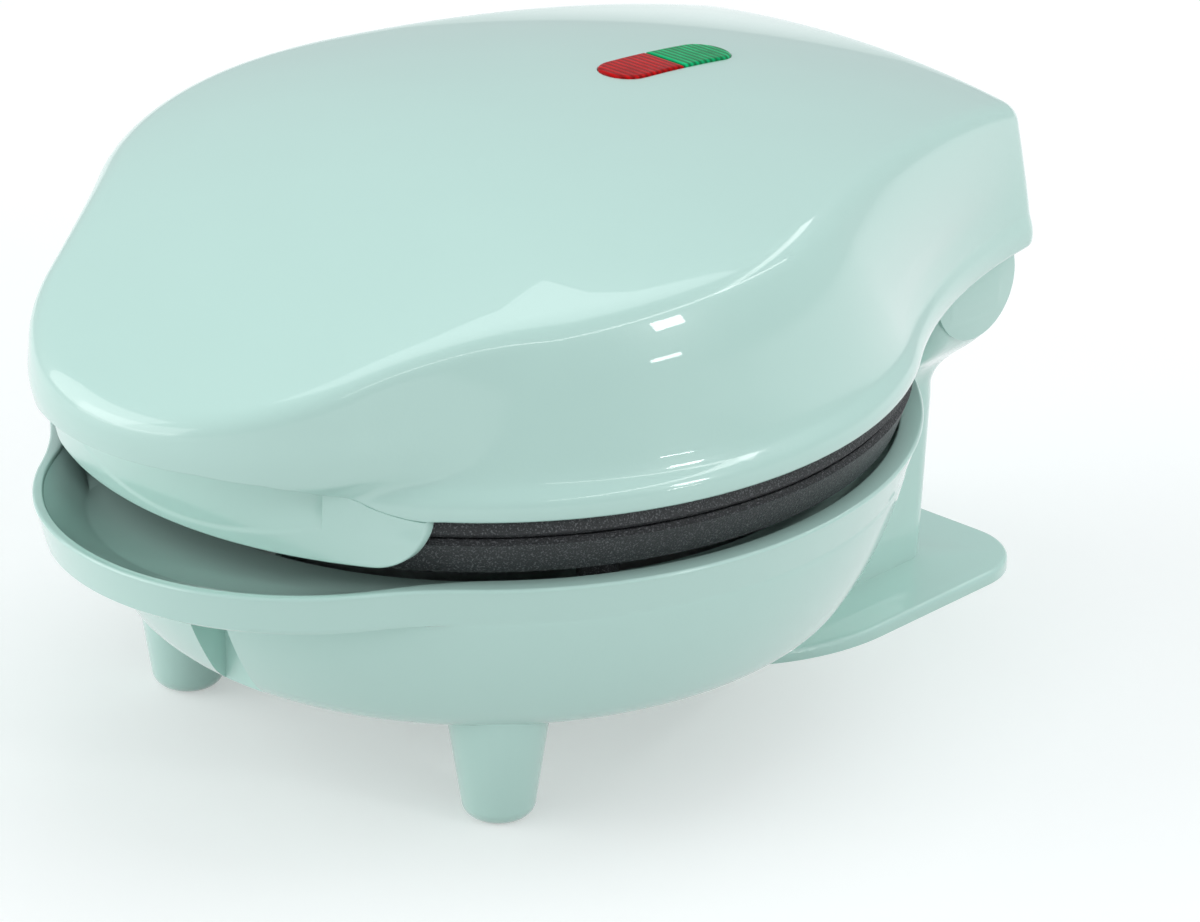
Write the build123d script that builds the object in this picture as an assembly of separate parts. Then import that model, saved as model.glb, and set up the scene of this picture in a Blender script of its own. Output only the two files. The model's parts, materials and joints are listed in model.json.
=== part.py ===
from build123d import *
import math
import os

os.makedirs("parts", exist_ok=True)

# Mini waffle maker: a round bowl on two front legs and a rear stand, with a crowned lid
# that swings up about a hinge at the rear. All sizes are millimetres. The parts are drawn
# about the axis of the round plates: x is sideways, y grows towards the hinge, and the
# table is at z = 0. They are moved along y when written, so that the origin lies under
# the middle of the whole object.

# Mouldings
wall = 2.2
joint_gap = 0.15
swing_gap = 0.35
outside = 200.0  # further than any piece reaches

# Waffle plates, the same above and below the seam
seam_height = 57.2
seam_gap = 0.3
plate_radius = 69.6
plate_edge_chamfer = 0.8
skirt_depth = 6.2
skirt_step = 2.0
skirt_radius = plate_radius - skirt_step
skirt_wall = 2.4
flange_thickness = 3.1
cavity_border = 13.8
cavity_radius = plate_radius - cavity_border
cavity_draft = 1.8
cavity_depth = 6.35
cavity_floor = 3.4
cavity_wall = 2.5
bump_pitch = 13.2
bump_width = 8.8
bump_height = 4.15
bump_taper = 14.0
bump_margin = 3.0
plate_screw_inset = 8.0
plate_screw_ring = plate_radius - plate_screw_inset

# Heating stack behind each plate
element_ring_radius = 38.0
element_tube_radius = 3.1
element_seat_depth = 0.8
element_seat_clearance = 0.05
element_end_spacing = 9.0
element_bend_radius = 6.0
element_pin_radius = 1.1
element_pin_length = 3.2
clamp_ring_radius = 28.5
clamp_length = 17.0
clamp_width = 9.0
clamp_thickness = 1.0
clamp_angles = (30, 150, 270)
post_radius = 3.4
pan_inset = 6.4
pan_radius = plate_screw_ring - pan_inset
element_end_overhang = 0.6
element_end_reach = pan_radius + element_end_overhang
pan_thickness = 0.6
pan_depth = 9.1
pan_corner = 2.0
thermostat_y = 16.5
thermostat_radius = 8.0
thermostat_body_height = 5.6
thermostat_flange_length = 27.0
thermostat_flange_width = 9.0
thermostat_flange_thickness = 1.0
thermostat_screw_spacing = 22.0
blade_length = 4.0
blade_width = 5.0
blade_thickness = 0.8
blade_spacing = 9.0

# Fasteners: shank radius, head radius, head height
plate_screw = (1.5, 2.8, 1.7)
small_screw = (1.2, 2.4, 1.3)
stand_screw = (1.7, 3.4, 2.0)
thread_clearance = 0.03
plate_screw_angles = (90, 210, 330)
plate_screw_length = 10.0
plate_boss_radius = 3.1
small_screw_length = 6.0

# Base moulding: bowl of revolution, rim with a front lobe, and front legs
rim_drop = 7.7
rim_height = seam_height - rim_drop
rim_depth = 7.0
rim_underside_height = rim_height - rim_depth
rim_overhang = 1.8
rim_radius = plate_radius + rim_overhang
rim_flare = 2.4
rim_underside_radius = rim_radius - rim_flare
bowl_floor_height = 18.0
bowl_corner_rise = 4.8
bowl_corner_height = bowl_floor_height + bowl_corner_rise
bowl_side_lean = 7.9
bowl_corner_radius_end = rim_underside_radius - bowl_side_lean
bowl_corner_width = 8.7
bowl_floor_radius = bowl_corner_radius_end - bowl_corner_width
base_lobe_setback = 28.1
base_lobe_offset = plate_radius - base_lobe_setback
base_lobe_radius = 44.1
base_lobe_underside_radius = 42.4
base_lobe_blend = 58.0
ledge_inset = 0.2
ledge_radius = skirt_radius - ledge_inset
dish_rim = 1.8
dish_slope = 9.0
dish_depth = 3.7
dish_floor_height = rim_height - dish_depth
stack_opening_inset = 1.5
stack_opening_radius = plate_screw_ring - stack_opening_inset
notch_x = 1.8
notch_half_width = 4.4
notch_depth = 5.8
notch_back = bowl_floor_radius + notch_depth
leg_x = 35.5
leg_y = -34.9
leg_foot_radius = 5.8
leg_taper = 0.152
leg_root_depth = 5.0
leg_root_height = bowl_floor_height + leg_root_depth
leg_foot_round = 2.9

# Rear stand: foot plate, column and hinge head
hinge_setback = 11.4
hinge_y = plate_radius + hinge_setback
hinge_drop = 0.9
hinge_height = seam_height - hinge_drop
foot_thickness = 2.2
foot_half_width = 37.3
foot_overhang = 16.0
foot_rear = hinge_y + foot_overhang
foot_corner = 12.5
foot_length = 40.3
foot_centre_y = foot_rear - foot_length
column_half_width = 24.0
column_front = 34.0
column_overhang = 2.9
column_rear = hinge_y + column_overhang
column_rear_lean = 2.9
neck_length = 25.3
column_straight_height = hinge_height - neck_length
column_corner = 4.9
head_barrel_radius = 9.9
head_depth = 10.6
head_front = hinge_y - head_depth
head_front_gap = 0.5
neck_drops = (neck_length, 20.8, 16.8, 12.8, 7.8, 0.0)
neck_heights = tuple(hinge_height - drop for drop in neck_drops)
neck_widening = (0.0, 0.05, 0.3, 0.69, 0.96, 1.0)
neck_deepening = (0.0, 0.05, 0.24, 0.54, 0.88, 1.0)
stand_post_x = 17.8
stand_post_ys = (40.4, 49.6)
stand_post_radius = 3.9
stand_post_foot = 5.6
stand_rib = 3.0
stand_screw_length = 18.0
stand_boss_height = 8.0
cable_hole_y = 44.0
cable_hole_radius = 5.0
cover_lip = 1.4
cover_thickness = 1.8
cover_recess = 0.3
cover_post_x = 19.5
cover_post_setback = 4.0
cover_post_y = hinge_y - cover_post_setback
cover_post_radius = 3.0
cover_post_height = 12.0
gland_height = 12.5
gland_body_radius = 4.1
gland_flange_radius = 5.8
gland_flange_thickness = 1.3
gland_bore_radius = 3.0

# Hinge: a barrel on the lid turns on two hollow bushes held in the ears of the stand
barrel_radius = 8.3
barrel_half_length = 22.8
barrel_end_gap = 0.5
ear_inner_face = barrel_half_length + barrel_end_gap
ear_length = 12.6
head_half_width = ear_inner_face + ear_length
ear_wall = 3.2
ear_pocket_radius = 6.4
ear_end_wall = 2.7
saddle_gap = 0.6
bush_radius = 3.9
bush_bore_radius = 2.3
bush_running_gap = 0.05
bush_press_gap = 0.02
bush_inner_end = 15.5
bush_flange_radius = 5.6
bush_flange_thickness = 1.2
web_inner_x = 13.5
web_front = 5.0
web_rear = 3.6

# Lid moulding, by level: height, radius of the round part, radius, offset and side hollow
# of the front lobe, half width and depth at the rear corners, radius of the rear hollow
crown_rise = 42.8
crown_height = seam_height + crown_rise
crown_y = 6.3
crown_front_radius = 201.0
crown_rear_radius = 294.0
crown_cross_radius = 258.0
crown_sweep = 27.0
lid_edge_rise = 3.9
lid_edge_height = seam_height + lid_edge_rise
cap_drop = 29.0
cap_height = crown_height - cap_drop
crease_drop = 16.1
crease_height = crown_height - crease_drop
lid_lobe_setback = 22.4
lid_lobe = plate_radius - lid_lobe_setback
lid_overhang = 13.4
lid_rear = hinge_y + lid_overhang
lid_edge = (lid_edge_height, plate_radius + 1.1, 40.0, lid_lobe, 60.0,
            39.1, lid_rear, 107.0)
lid_lip = (lid_edge_height + 1.6, plate_radius + 1.6, 40.0, lid_lobe, 60.0,
           39.3, lid_rear + 0.1, 107.0)
lid_lip_top = (lid_edge_height + 4.9, plate_radius - 0.5, 40.0, lid_lobe, 60.0,
               38.5, lid_rear - 0.1, 120.0)
lid_cap_edge = (cap_height, plate_radius - 1.9, 40.0, lid_lobe, 60.0,
                37.7, lid_rear - 0.4, 150.0)
lid_crease = (crease_height, plate_radius - 5.0, 38.9, lid_lobe + 0.2, 150.0,
              35.6, lid_rear - 1.1, 500.0)
lid_above_crown = (crown_height + 1.5, plate_radius - 13.2, 36.9, lid_lobe + 0.2, 150.0,
                   33.7, lid_rear - 1.6, 650.0)
lid_rear_corner = 3.9
lid_rear_bow = 0.9
rear_arch_rise = 12.7
rear_arch_height = hinge_height + rear_arch_rise
rear_arch_corner = 5.0
handle_reach = lid_cap_edge[2] + lid_cap_edge[3]

# Guard that closes the handle from below and hangs in front of the plates
guard_gap = 0.35
guard_wall = 1.75
guard_drop = 4.7
guard_bottom = seam_height - guard_drop
guard_half_width = 41.6
guard_corner = 6.8
# The handle's lower edge beside the guard: distance from the middle, share of the way up
guard_crease_line = ((41.6, 0.06), (38.2, 0.33), (33.0, 0.64), (26.2, 0.89), (17.0, 1.0))
guard_crease = tuple((x, lid_edge_height + (cap_height - lid_edge_height) * share)
                     for x, share in guard_crease_line)
guard_recess_half_width = 27.6
guard_recess_rise = 5.4
guard_recess_bottom = guard_bottom + guard_recess_rise
guard_recess_depth = 0.8
guard_floor_recess = 0.3
guard_screw_x = 16.0
guard_screw_reach = 6.4
guard_screw_y = -(plate_radius + guard_screw_reach)
guard_boss_radius = 3.4
guard_screw_length = 6.8
screw_tip_room = 0.5

# Indicator lights
lens_y = 43.4
lens_length = 26.7
lens_width = 8.6
lens_proud = 0.5
lens_seat_gap = 0.12
lens_flange = 1.4
lens_flange_thickness = 1.0
lens_base_depth = 7.5
lens_base_height = crown_height - lens_base_depth
lamp_radius = 2.4
lamp_length = 9.0
lamp_spacing = 12.0
lamp_depth = 12.4
lamp_height = crown_height - lamp_depth
holder_length = 30.0
holder_width = 12.0
holder_thickness = 1.6
holder_screw_x = 11.0
holder_ear_radius = 3.2

# Inside the bowl
terminal_length = 36.0
terminal_width = 12.0
terminal_height = 9.0
terminal_y = 0.0
terminal_seat_height = 3.0
terminal_way_pitch = 9.0
terminal_way_radius = 1.7
fuse_radius = 2.6
fuse_length = 13.0
fuse_x = 30.0
fuse_y = 4.5
lead_radius = 1.2
lead_bend = 3.0
lead_gap = 0.02
lead_join_x = 19.0
live_bend_x = 6.0
live_bend_setback = 16.0
live_bend_y = hinge_y - live_bend_setback
lamp_lead_radius = 0.6
lamp_lead_bend = 1.2


def radial(radius, angle):
    """A point at the given distance and direction, in degrees, from the plate axis."""
    turn = math.radians(angle)
    return (radius * math.cos(turn), radius * math.sin(turn))


def circle_meeting(first, first_radius, second, second_radius, side):
    """Where two circles meet, left (1) or right (-1) of the line from the first centre."""
    forward = (second - first).normalized()
    span = (second - first).length
    along = (span**2 + first_radius**2 - second_radius**2) / (2 * span)
    across = math.sqrt(first_radius**2 - along**2)
    return first + forward * along + Vector(-forward.Y, forward.X) * (across * side)


def towards(start, end, distance):
    """The point at a distance from start on the way to end."""
    return start + (end - start).normalized() * distance


def short_arc(start, end, centre):
    """The shorter arc about a centre from start to end."""
    middle = (start - centre).normalized() + (end - centre).normalized()
    return ThreePointArc(start, centre + middle.normalized() * (start - centre).length, end)


def flipped(point):
    """The same point on the other side of the plane x = 0."""
    return Vector(-point.X, point.Y, point.Z)


def level(shape, height):
    return Pos(0, 0, height) * shape


def lobed_outline(main_radius, lobe_radius, lobe_offset, blend):
    """A circle with a round lobe at the front, joined by hollow arcs on both sides."""
    lobe = Vector(0, -lobe_offset)
    hollow = circle_meeting(Vector(), main_radius + blend, lobe, lobe_radius + blend, 1)
    on_lobe = towards(lobe, hollow, lobe_radius)
    on_main = towards(Vector(), hollow, main_radius)
    return make_face([
        ThreePointArc(flipped(on_lobe), lobe - Vector(0, lobe_radius), on_lobe),
        short_arc(on_lobe, on_main, hollow),
        ThreePointArc(on_main, Vector(0, main_radius), flipped(on_main)),
        short_arc(flipped(on_main), flipped(on_lobe), flipped(hollow)),
    ])


def lid_outline(section, inset, with_lobe):
    """Plan of the lid at one level, moved inwards by the inset."""
    height, main, lobe_size, lobe_offset, blend, half_width, rear, rear_blend = section
    main -= inset
    half_width -= inset
    rear -= inset
    rear_blend += inset
    corner_radius = max(lid_rear_corner - inset, 1.0)
    corner = Vector(half_width - corner_radius, rear - corner_radius)
    drop = corner.Y - rear - lid_rear_bow
    bow_radius = (corner.X**2 + drop**2 - corner_radius**2) / (2 * lid_rear_bow)
    bow = Vector(0, rear + lid_rear_bow - bow_radius)
    on_bow = towards(bow, corner, bow_radius)
    side = circle_meeting(Vector(), main + rear_blend, corner, corner_radius + rear_blend, -1)
    on_corner = towards(corner, side, corner_radius)
    on_side = towards(Vector(), side, main)
    right = [
        short_arc(on_side, on_corner, side),
        short_arc(on_corner, on_bow, corner),
    ]
    front = [ThreePointArc(flipped(on_side), Vector(0, -main), on_side)]
    if with_lobe:
        blend += inset
        lobe = Vector(0, -lobe_offset)
        lobe_size -= inset
        hollow = circle_meeting(Vector(), main + blend, lobe, lobe_size + blend, 1)
        on_lobe = towards(lobe, hollow, lobe_size)
        on_main = towards(Vector(), hollow, main)
        front = [ThreePointArc(flipped(on_lobe), lobe - Vector(0, lobe_size), on_lobe)]
        right += [short_arc(on_lobe, on_main, hollow), short_arc(on_main, on_side, Vector())]
    rear_edge = [short_arc(on_bow, flipped(on_bow), bow)]
    left = [mirror(edge, about=Plane.YZ) for edge in right]
    return level(make_face(front + right + rear_edge + left), height)


def crown_block(inset):
    """Everything under the crowned top, which lies lower by the inset."""
    top = crown_height - inset
    front_radius = crown_front_radius - inset
    rear_radius = crown_rear_radius - inset
    front_reach = handle_reach + 10
    rear_reach = hinge_y + 25
    low = lid_edge[0] - 10

    def arc_point(distance, radius):
        drop = radius - math.sqrt(radius**2 - distance**2)
        return (crown_y + distance, top - drop)

    front_end = arc_point(-front_reach - crown_y, front_radius)
    rear_end = arc_point(rear_reach - crown_y, rear_radius)
    front_mid = arc_point((-front_reach - crown_y) / 2, front_radius)
    rear_mid = arc_point((rear_reach - crown_y) / 2, rear_radius)
    side_view = make_face([
        Line((-front_reach, low), front_end),
        ThreePointArc(front_end, front_mid, (crown_y, top)),
        ThreePointArc((crown_y, top), rear_mid, rear_end),
        Line(rear_end, (rear_reach, low)),
        Line((rear_reach, low), (-front_reach, low)),
    ])
    axis = Axis((0, 0, crown_height - crown_cross_radius), (0, 1, 0))
    turned = (Plane.YZ * side_view).rotate(axis, -crown_sweep)
    return revolve(turned, axis, 2 * crown_sweep)


def lid_body(inset):
    """The filled lid, whose lower part has no lobe: the handle overhangs there."""
    upper_sections = (lid_cap_edge, lid_crease, lid_above_crown)
    upper = loft([lid_outline(section, inset, True) for section in upper_sections], ruled=True)
    lower_sections = (lid_edge, lid_lip, lid_lip_top, lid_cap_edge)
    lower = loft([lid_outline(section, inset, False) for section in lower_sections], ruled=True)
    return (upper & crown_block(inset)) + lower


def bar_x(radius, start, end):
    """A cylinder along x about the hinge axis."""
    middle = (start + end) / 2
    return Pos(middle, hinge_y, hinge_height) * Rot(0, 90, 0) * Cylinder(radius, end - start)


def block(x_range, y_range, z_range):
    """A box from its limits."""
    size = [high - low for low, high in (x_range, y_range, z_range)]
    middle = [(high + low) / 2 for low, high in (x_range, y_range, z_range)]
    return Pos(*middle) * Box(*size)


def post(x, y, low, high, radius):
    """An upright cylinder from its limits."""
    return Pos(x, y, (low + high) / 2) * Cylinder(radius, high - low)


def pan_head(screw, length):
    """A screw pointing down from z = 0, with its head above."""
    shank_radius, head_radius, head_height = screw
    head = post(0, 0, 0, head_height, head_radius)
    head = fillet(head.edges().sort_by(Axis.Z)[-1], head_height * 0.4)
    slot = block((-head_radius * 0.7, head_radius * 0.7), (-0.35, 0.35),
                 (head_height * 0.5, head_height + 1))
    cross = slot.rotate(Axis.Z, 90)
    return head + post(0, 0, -length, 0, shank_radius) - slot - cross


def countersunk(screw, length):
    """A screw pointing down, with the flat of its head at z = 0."""
    shank_radius, head_radius, head_height = screw
    head = Pos(0, 0, -head_height / 2) * Cone(shank_radius, head_radius, head_height)
    slot = block((-head_radius * 0.6, head_radius * 0.6), (-0.35, 0.35), (-head_height * 0.5, 1))
    cross = slot.rotate(Axis.Z, 90)
    return head + post(0, 0, -length, -head_height, shank_radius) - slot - cross


def upside_down(shape):
    return Rot(180, 0, 0) * shape


# Levels of the heating stack, as distances from the middle of the seam
face_level = seam_gap / 2
flange_back = face_level + flange_thickness
floor_level = face_level + cavity_depth
back_level = floor_level + cavity_floor
element_level = back_level + element_tube_radius - element_seat_depth
clamp_level = element_level + element_tube_radius
pan_floor_level = back_level + pan_depth
body_radius = cavity_radius + cavity_wall


def stack_post(x, y, near, far, radius):
    """A post of the heating stack between two distances below the seam."""
    return post(x, y, -far, -near, radius)


def element_path():
    """The bent line of the heating element: a ring whose ends turn out to the rear."""
    bend = Vector(element_end_spacing + element_bend_radius, 0)
    reach = element_ring_radius + element_bend_radius
    bend = Vector(bend.X, math.sqrt(reach**2 - bend.X**2))
    on_ring = towards(Vector(), bend, element_ring_radius)
    straight = Vector(element_end_spacing, bend.Y)
    end = Vector(element_end_spacing, element_end_reach)
    return Wire([
        Line(end, straight),
        short_arc(straight, on_ring, bend),
        ThreePointArc(on_ring, Vector(0, -element_ring_radius), flipped(on_ring)),
        short_arc(flipped(on_ring), flipped(straight), flipped(bend)),
        Line(flipped(straight), flipped(end)),
    ])


def element_tube(radius):
    path = element_path()
    section = Plane(origin=path @ 0, z_dir=path % 0) * Circle(radius)
    return level(sweep(section, path=path), -element_level)


def heating_plate():
    """The cast lower plate: flange, skirt, waffle cavity with raised squares, and posts."""
    skirt_bottom = face_level + skirt_depth
    profile = make_face(Polyline(
        (0, -floor_level), (cavity_radius - cavity_draft, -floor_level),
        (cavity_radius, -face_level), (plate_radius - plate_edge_chamfer, -face_level),
        (plate_radius, -face_level - plate_edge_chamfer), (skirt_radius, -skirt_bottom),
        (skirt_radius - skirt_wall, -skirt_bottom), (plate_radius - skirt_wall, -flange_back),
        (body_radius, -flange_back), (body_radius - 0.6, -back_level), (0, -back_level),
        close=True))
    plate = revolve(Plane.XZ * profile, Axis.Z)
    reach = cavity_radius - cavity_draft - bump_margin
    count = int(reach / bump_pitch) + 1
    bumps = []
    for column in range(-count, count + 1):
        for row in range(-count, count + 1):
            x = column * bump_pitch
            y = row * bump_pitch
            if math.hypot(abs(x) + bump_width / 2, abs(y) + bump_width / 2) < reach:
                base = Pos(x, y, -floor_level) * Rectangle(bump_width, bump_width)
                bumps.append(extrude(base, amount=bump_height, taper=bump_taper))
    plate = plate.fuse(*bumps)
    for angle in clamp_angles:
        x, y = radial(clamp_ring_radius, angle)
        plate += stack_post(x, y, back_level, clamp_level, post_radius)
        plate -= stack_post(x, y, back_level, clamp_level, small_screw[0] + thread_clearance)
    plate += stack_post(0, 0, back_level, pan_floor_level, post_radius)
    plate -= stack_post(0, 0, back_level, pan_floor_level, small_screw[0] + thread_clearance)
    for side in (-1, 1):
        x = side * thermostat_screw_spacing / 2
        plate -= stack_post(x, thermostat_y, back_level - cavity_floor / 2, back_level,
                            small_screw[0] + thread_clearance)
    shank, head, depth = plate_screw
    for angle in plate_screw_angles:
        x, y = radial(plate_screw_ring, angle)
        plate -= stack_post(x, y, face_level, flange_back, shank + joint_gap)
        plate -= Pos(x, y, -face_level - depth / 2) * Cone(shank, head, depth)
    return plate - element_tube(element_tube_radius + element_seat_clearance)


def heating_element():
    element = element_tube(element_tube_radius)
    for side in (-1, 1):
        pin = Rot(90, 0, 0) * Cylinder(element_pin_radius, element_pin_length)
        pin_y = element_end_reach + element_pin_length / 2
        element += Pos(side * element_end_spacing, pin_y, -element_level) * pin
    return element


def element_clamps():
    """Three straps that press the element against the plate."""
    straps = []
    middle = clamp_ring_radius + clamp_length / 2 - post_radius
    low = clamp_level + clamp_thickness / 2
    for angle in clamp_angles:
        strap = Pos(middle, 0, -low) * Box(clamp_length, clamp_width, clamp_thickness)
        hole = stack_post(clamp_ring_radius, 0, clamp_level, clamp_level + clamp_thickness,
                          small_screw[0] + joint_gap)
        straps.append((strap - hole).rotate(Axis.Z, angle))
    return Part() + straps


def clamp_screws():
    screw = upside_down(pan_head(small_screw, clamp_level - back_level + clamp_thickness))
    placed = []
    for angle in clamp_angles:
        x, y = radial(clamp_ring_radius, angle)
        placed.append(Pos(x, y, -clamp_level - clamp_thickness) * screw)
    return Part() + placed


def reflector():
    """The thin pan that closes the stack behind the element."""
    outer_floor = pan_floor_level + pan_thickness
    inner = pan_radius - pan_thickness
    hole = small_screw[0] + joint_gap
    profile = make_face(Polyline(
        (hole, -outer_floor), (pan_radius - pan_corner, -outer_floor),
        (pan_radius, -outer_floor + pan_corner), (pan_radius, -back_level),
        (inner, -back_level), (inner, -pan_floor_level + pan_corner - pan_thickness * 0.4),
        (pan_radius - pan_corner - pan_thickness * 0.4, -pan_floor_level),
        (hole, -pan_floor_level), close=True))
    pan = revolve(Plane.XZ * profile, Axis.Z)
    notch = element_tube_radius + 0.9
    for side in (-1, 1):
        x = side * element_end_spacing
        pan -= block((x - notch, x + notch), (pan_radius - 12, pan_radius + 2),
                     (-element_level - notch, -back_level + 1))
        x = side * blade_spacing / 2
        pan -= stack_post(x, thermostat_y, pan_floor_level - 1, outer_floor + 1, lead_radius + 1.6)
    return pan


def reflector_screw():
    screw = upside_down(pan_head(small_screw, small_screw_length))
    return level(screw, -pan_floor_level - pan_thickness)


def thermostat():
    """A round bimetal thermostat with its fixing flange and two blades."""
    flange = SlotOverall(thermostat_flange_length, thermostat_flange_width)
    flange = extrude(flange, amount=thermostat_flange_thickness)
    body_low = back_level + thermostat_flange_thickness + thermostat_body_height
    shape = Pos(0, thermostat_y, -back_level - thermostat_flange_thickness) * flange
    shape += stack_post(0, thermostat_y, back_level, body_low, thermostat_radius)
    for side in (-1, 1):
        x = side * blade_spacing / 2
        shape += block((x - blade_thickness / 2, x + blade_thickness / 2),
                       (thermostat_y - blade_width / 2, thermostat_y + blade_width / 2),
                       (-body_low - blade_length, -body_low))
        screw_x = side * thermostat_screw_spacing / 2
        shape -= stack_post(screw_x, thermostat_y, back_level,
                            back_level + thermostat_flange_thickness,
                            small_screw[0] + joint_gap)
    return shape


def thermostat_screws():
    length = thermostat_flange_thickness + cavity_floor / 2
    screw = upside_down(pan_head(small_screw, length))
    height = -back_level - thermostat_flange_thickness
    xs = (-thermostat_screw_spacing / 2, thermostat_screw_spacing / 2)
    return Part() + [Pos(x, thermostat_y, height) * screw for x in xs]


def plate_screws():
    screw = level(countersunk(plate_screw, plate_screw_length), -face_level)
    spots = [radial(plate_screw_ring, angle) for angle in plate_screw_angles]
    return Part() + [Pos(x, y, 0) * screw for x, y in spots]


def bowl_body(inset):
    """The bowl below its rim: a floor, a rounded corner and a slightly bulging side."""
    centre = (0, bowl_floor_height + inset)
    floor_end = (bowl_floor_radius, bowl_floor_height + inset)
    corner_end = (bowl_corner_radius_end - inset * 0.85, bowl_corner_height + inset * 0.53)
    top_end = (rim_underside_radius - inset, rim_underside_height)
    corner = TangentArc(floor_end, corner_end, tangent=(1, 0))
    side = TangentArc(corner_end, top_end, tangent=corner % 1)
    top_centre = (0, rim_underside_height)
    profile = make_face([Line(centre, floor_end), corner, side, Line(top_end, top_centre),
                         Line(top_centre, centre)])
    return revolve(Plane.XZ * profile, Axis.Z)


def rim_body():
    """The band round the top of the bowl, drawn out to a lobe at the front."""
    low = lobed_outline(rim_underside_radius, base_lobe_underside_radius, base_lobe_offset,
                        base_lobe_blend)
    high = lobed_outline(rim_radius, base_lobe_radius, base_lobe_offset, base_lobe_blend)
    return loft([level(low, rim_underside_height), level(high, rim_height)], ruled=True)


def rim_dish():
    """What is scooped out of the rim: straight down beside the plates, sloping in the lobe."""
    lobe_radius = base_lobe_radius - dish_rim
    high = lobed_outline(ledge_radius, lobe_radius, base_lobe_offset, base_lobe_blend)
    low = lobed_outline(ledge_radius - 0.1, lobe_radius - dish_slope, base_lobe_offset,
                        base_lobe_blend)
    dish = loft([level(low, dish_floor_height), level(high, rim_height)], ruled=True)
    return dish + post(0, 0, rim_underside_height, rim_height + 1, stack_opening_radius)


def leg(x, inset, top):
    """One tapered front leg, open into the bowl when inset."""
    low = inset
    low_radius = leg_foot_radius + leg_taper * low - inset
    high_radius = leg_foot_radius + leg_taper * top - inset
    cone = Pos(x, leg_y, (low + top) / 2) * Cone(low_radius, high_radius, top - low)
    return fillet(cone.edges().sort_by(Axis.Z)[0], leg_foot_round)


def base_housing():
    """Bowl, rim, lobe and front legs, moulded in one."""
    shell = bowl_body(0) + rim_body()
    ceiling = dish_floor_height - wall
    hollow = bowl_body(wall) + post(0, 0, rim_underside_height, ceiling,
                                    rim_underside_radius - wall)
    for side in (-1, 1):
        shell += leg(side * leg_x, 0, leg_root_height)
        hollow += leg(side * leg_x, wall, leg_root_height)
    notch_left = notch_x - notch_half_width
    notch_right = notch_x + notch_half_width
    notch_shell = block((notch_left - wall, notch_right + wall),
                        (-rim_radius, -notch_back + wall), (bowl_floor_height, ceiling))
    shell -= hollow - notch_shell
    shell -= rim_dish()
    shell -= block((notch_left, notch_right),
                   (-base_lobe_offset - base_lobe_radius, -notch_back),
                   (bowl_floor_height - 1, rim_underside_height))
    top = seam_height - flange_back
    for angle in plate_screw_angles:
        x, y = radial(plate_screw_ring, angle)
        shell += post(x, y, ceiling - 4, top, plate_boss_radius)
        shell -= post(x, y, top - plate_screw_length, top, plate_screw[0] + thread_clearance)
    floor_top = bowl_floor_height + wall
    for x in (-stand_post_x, stand_post_x):
        for y in stand_post_ys:
            shell += post(x, y, floor_top - 0.5, floor_top + stand_boss_height, stand_post_radius)
            shell -= post(x, y, bowl_floor_height, floor_top + stand_boss_height - wall,
                          stand_screw[0] + thread_clearance)
    shell += post(0, terminal_y, floor_top - 0.5, floor_top + terminal_seat_height, 4.0)
    shell -= post(0, terminal_y, floor_top, floor_top + terminal_seat_height,
                  small_screw[0] + thread_clearance)
    shell -= post(0, cable_hole_y, bowl_floor_height - 1, floor_top + 1, cable_hole_radius)
    return shell


def stand_section(height, half_width, rear, front, inset):
    """Plan of the column or hinge head at one level."""
    depth = rear - front - 2 * inset
    plan = RectangleRounded(2 * (half_width - inset), depth, max(column_corner - inset, 1.0))
    return Pos(0, (rear + front) / 2, height) * plan


def column_rear_at(height):
    """How far back the leaning rear face of the column lies."""
    return column_rear + column_rear_lean * min(height / column_straight_height, 1)


def column_plan(height, inset):
    rear = column_rear_at(height)
    return stand_section(height, column_half_width, rear, column_front, inset)


def stand_body(inset, top):
    """Column and flared head, up to the hinge axis or to a lower top when hollow."""
    column = loft([column_plan(0, inset), column_plan(column_straight_height, inset)],
                  ruled=True)
    column += extrude(column_plan(column_straight_height, inset),
                      amount=rim_height - column_straight_height)
    neck_rear = column_rear_at(column_straight_height)
    head_rear = hinge_y + head_barrel_radius
    sections = []
    for height, wider, deeper in zip(neck_heights, neck_widening, neck_deepening):
        half_width = column_half_width + (head_half_width - column_half_width) * wider
        rear = neck_rear + (head_rear - neck_rear) * deeper
        sections.append(stand_section(height, half_width, rear, head_front, inset))
    body = column + loft(sections)
    return body & block((-outside, outside), (0, outside), (0, top))


def foot_outline():
    """Plan of the foot plate: round at the front, with rounded rear corners."""
    rear_half = Pos(0, (foot_rear + foot_centre_y) / 2 - foot_corner / 2) * RectangleRounded(
        2 * foot_half_width, foot_rear - foot_centre_y + foot_corner, foot_corner)
    return Pos(0, foot_centre_y) * Circle(foot_half_width) + rear_half


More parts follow.
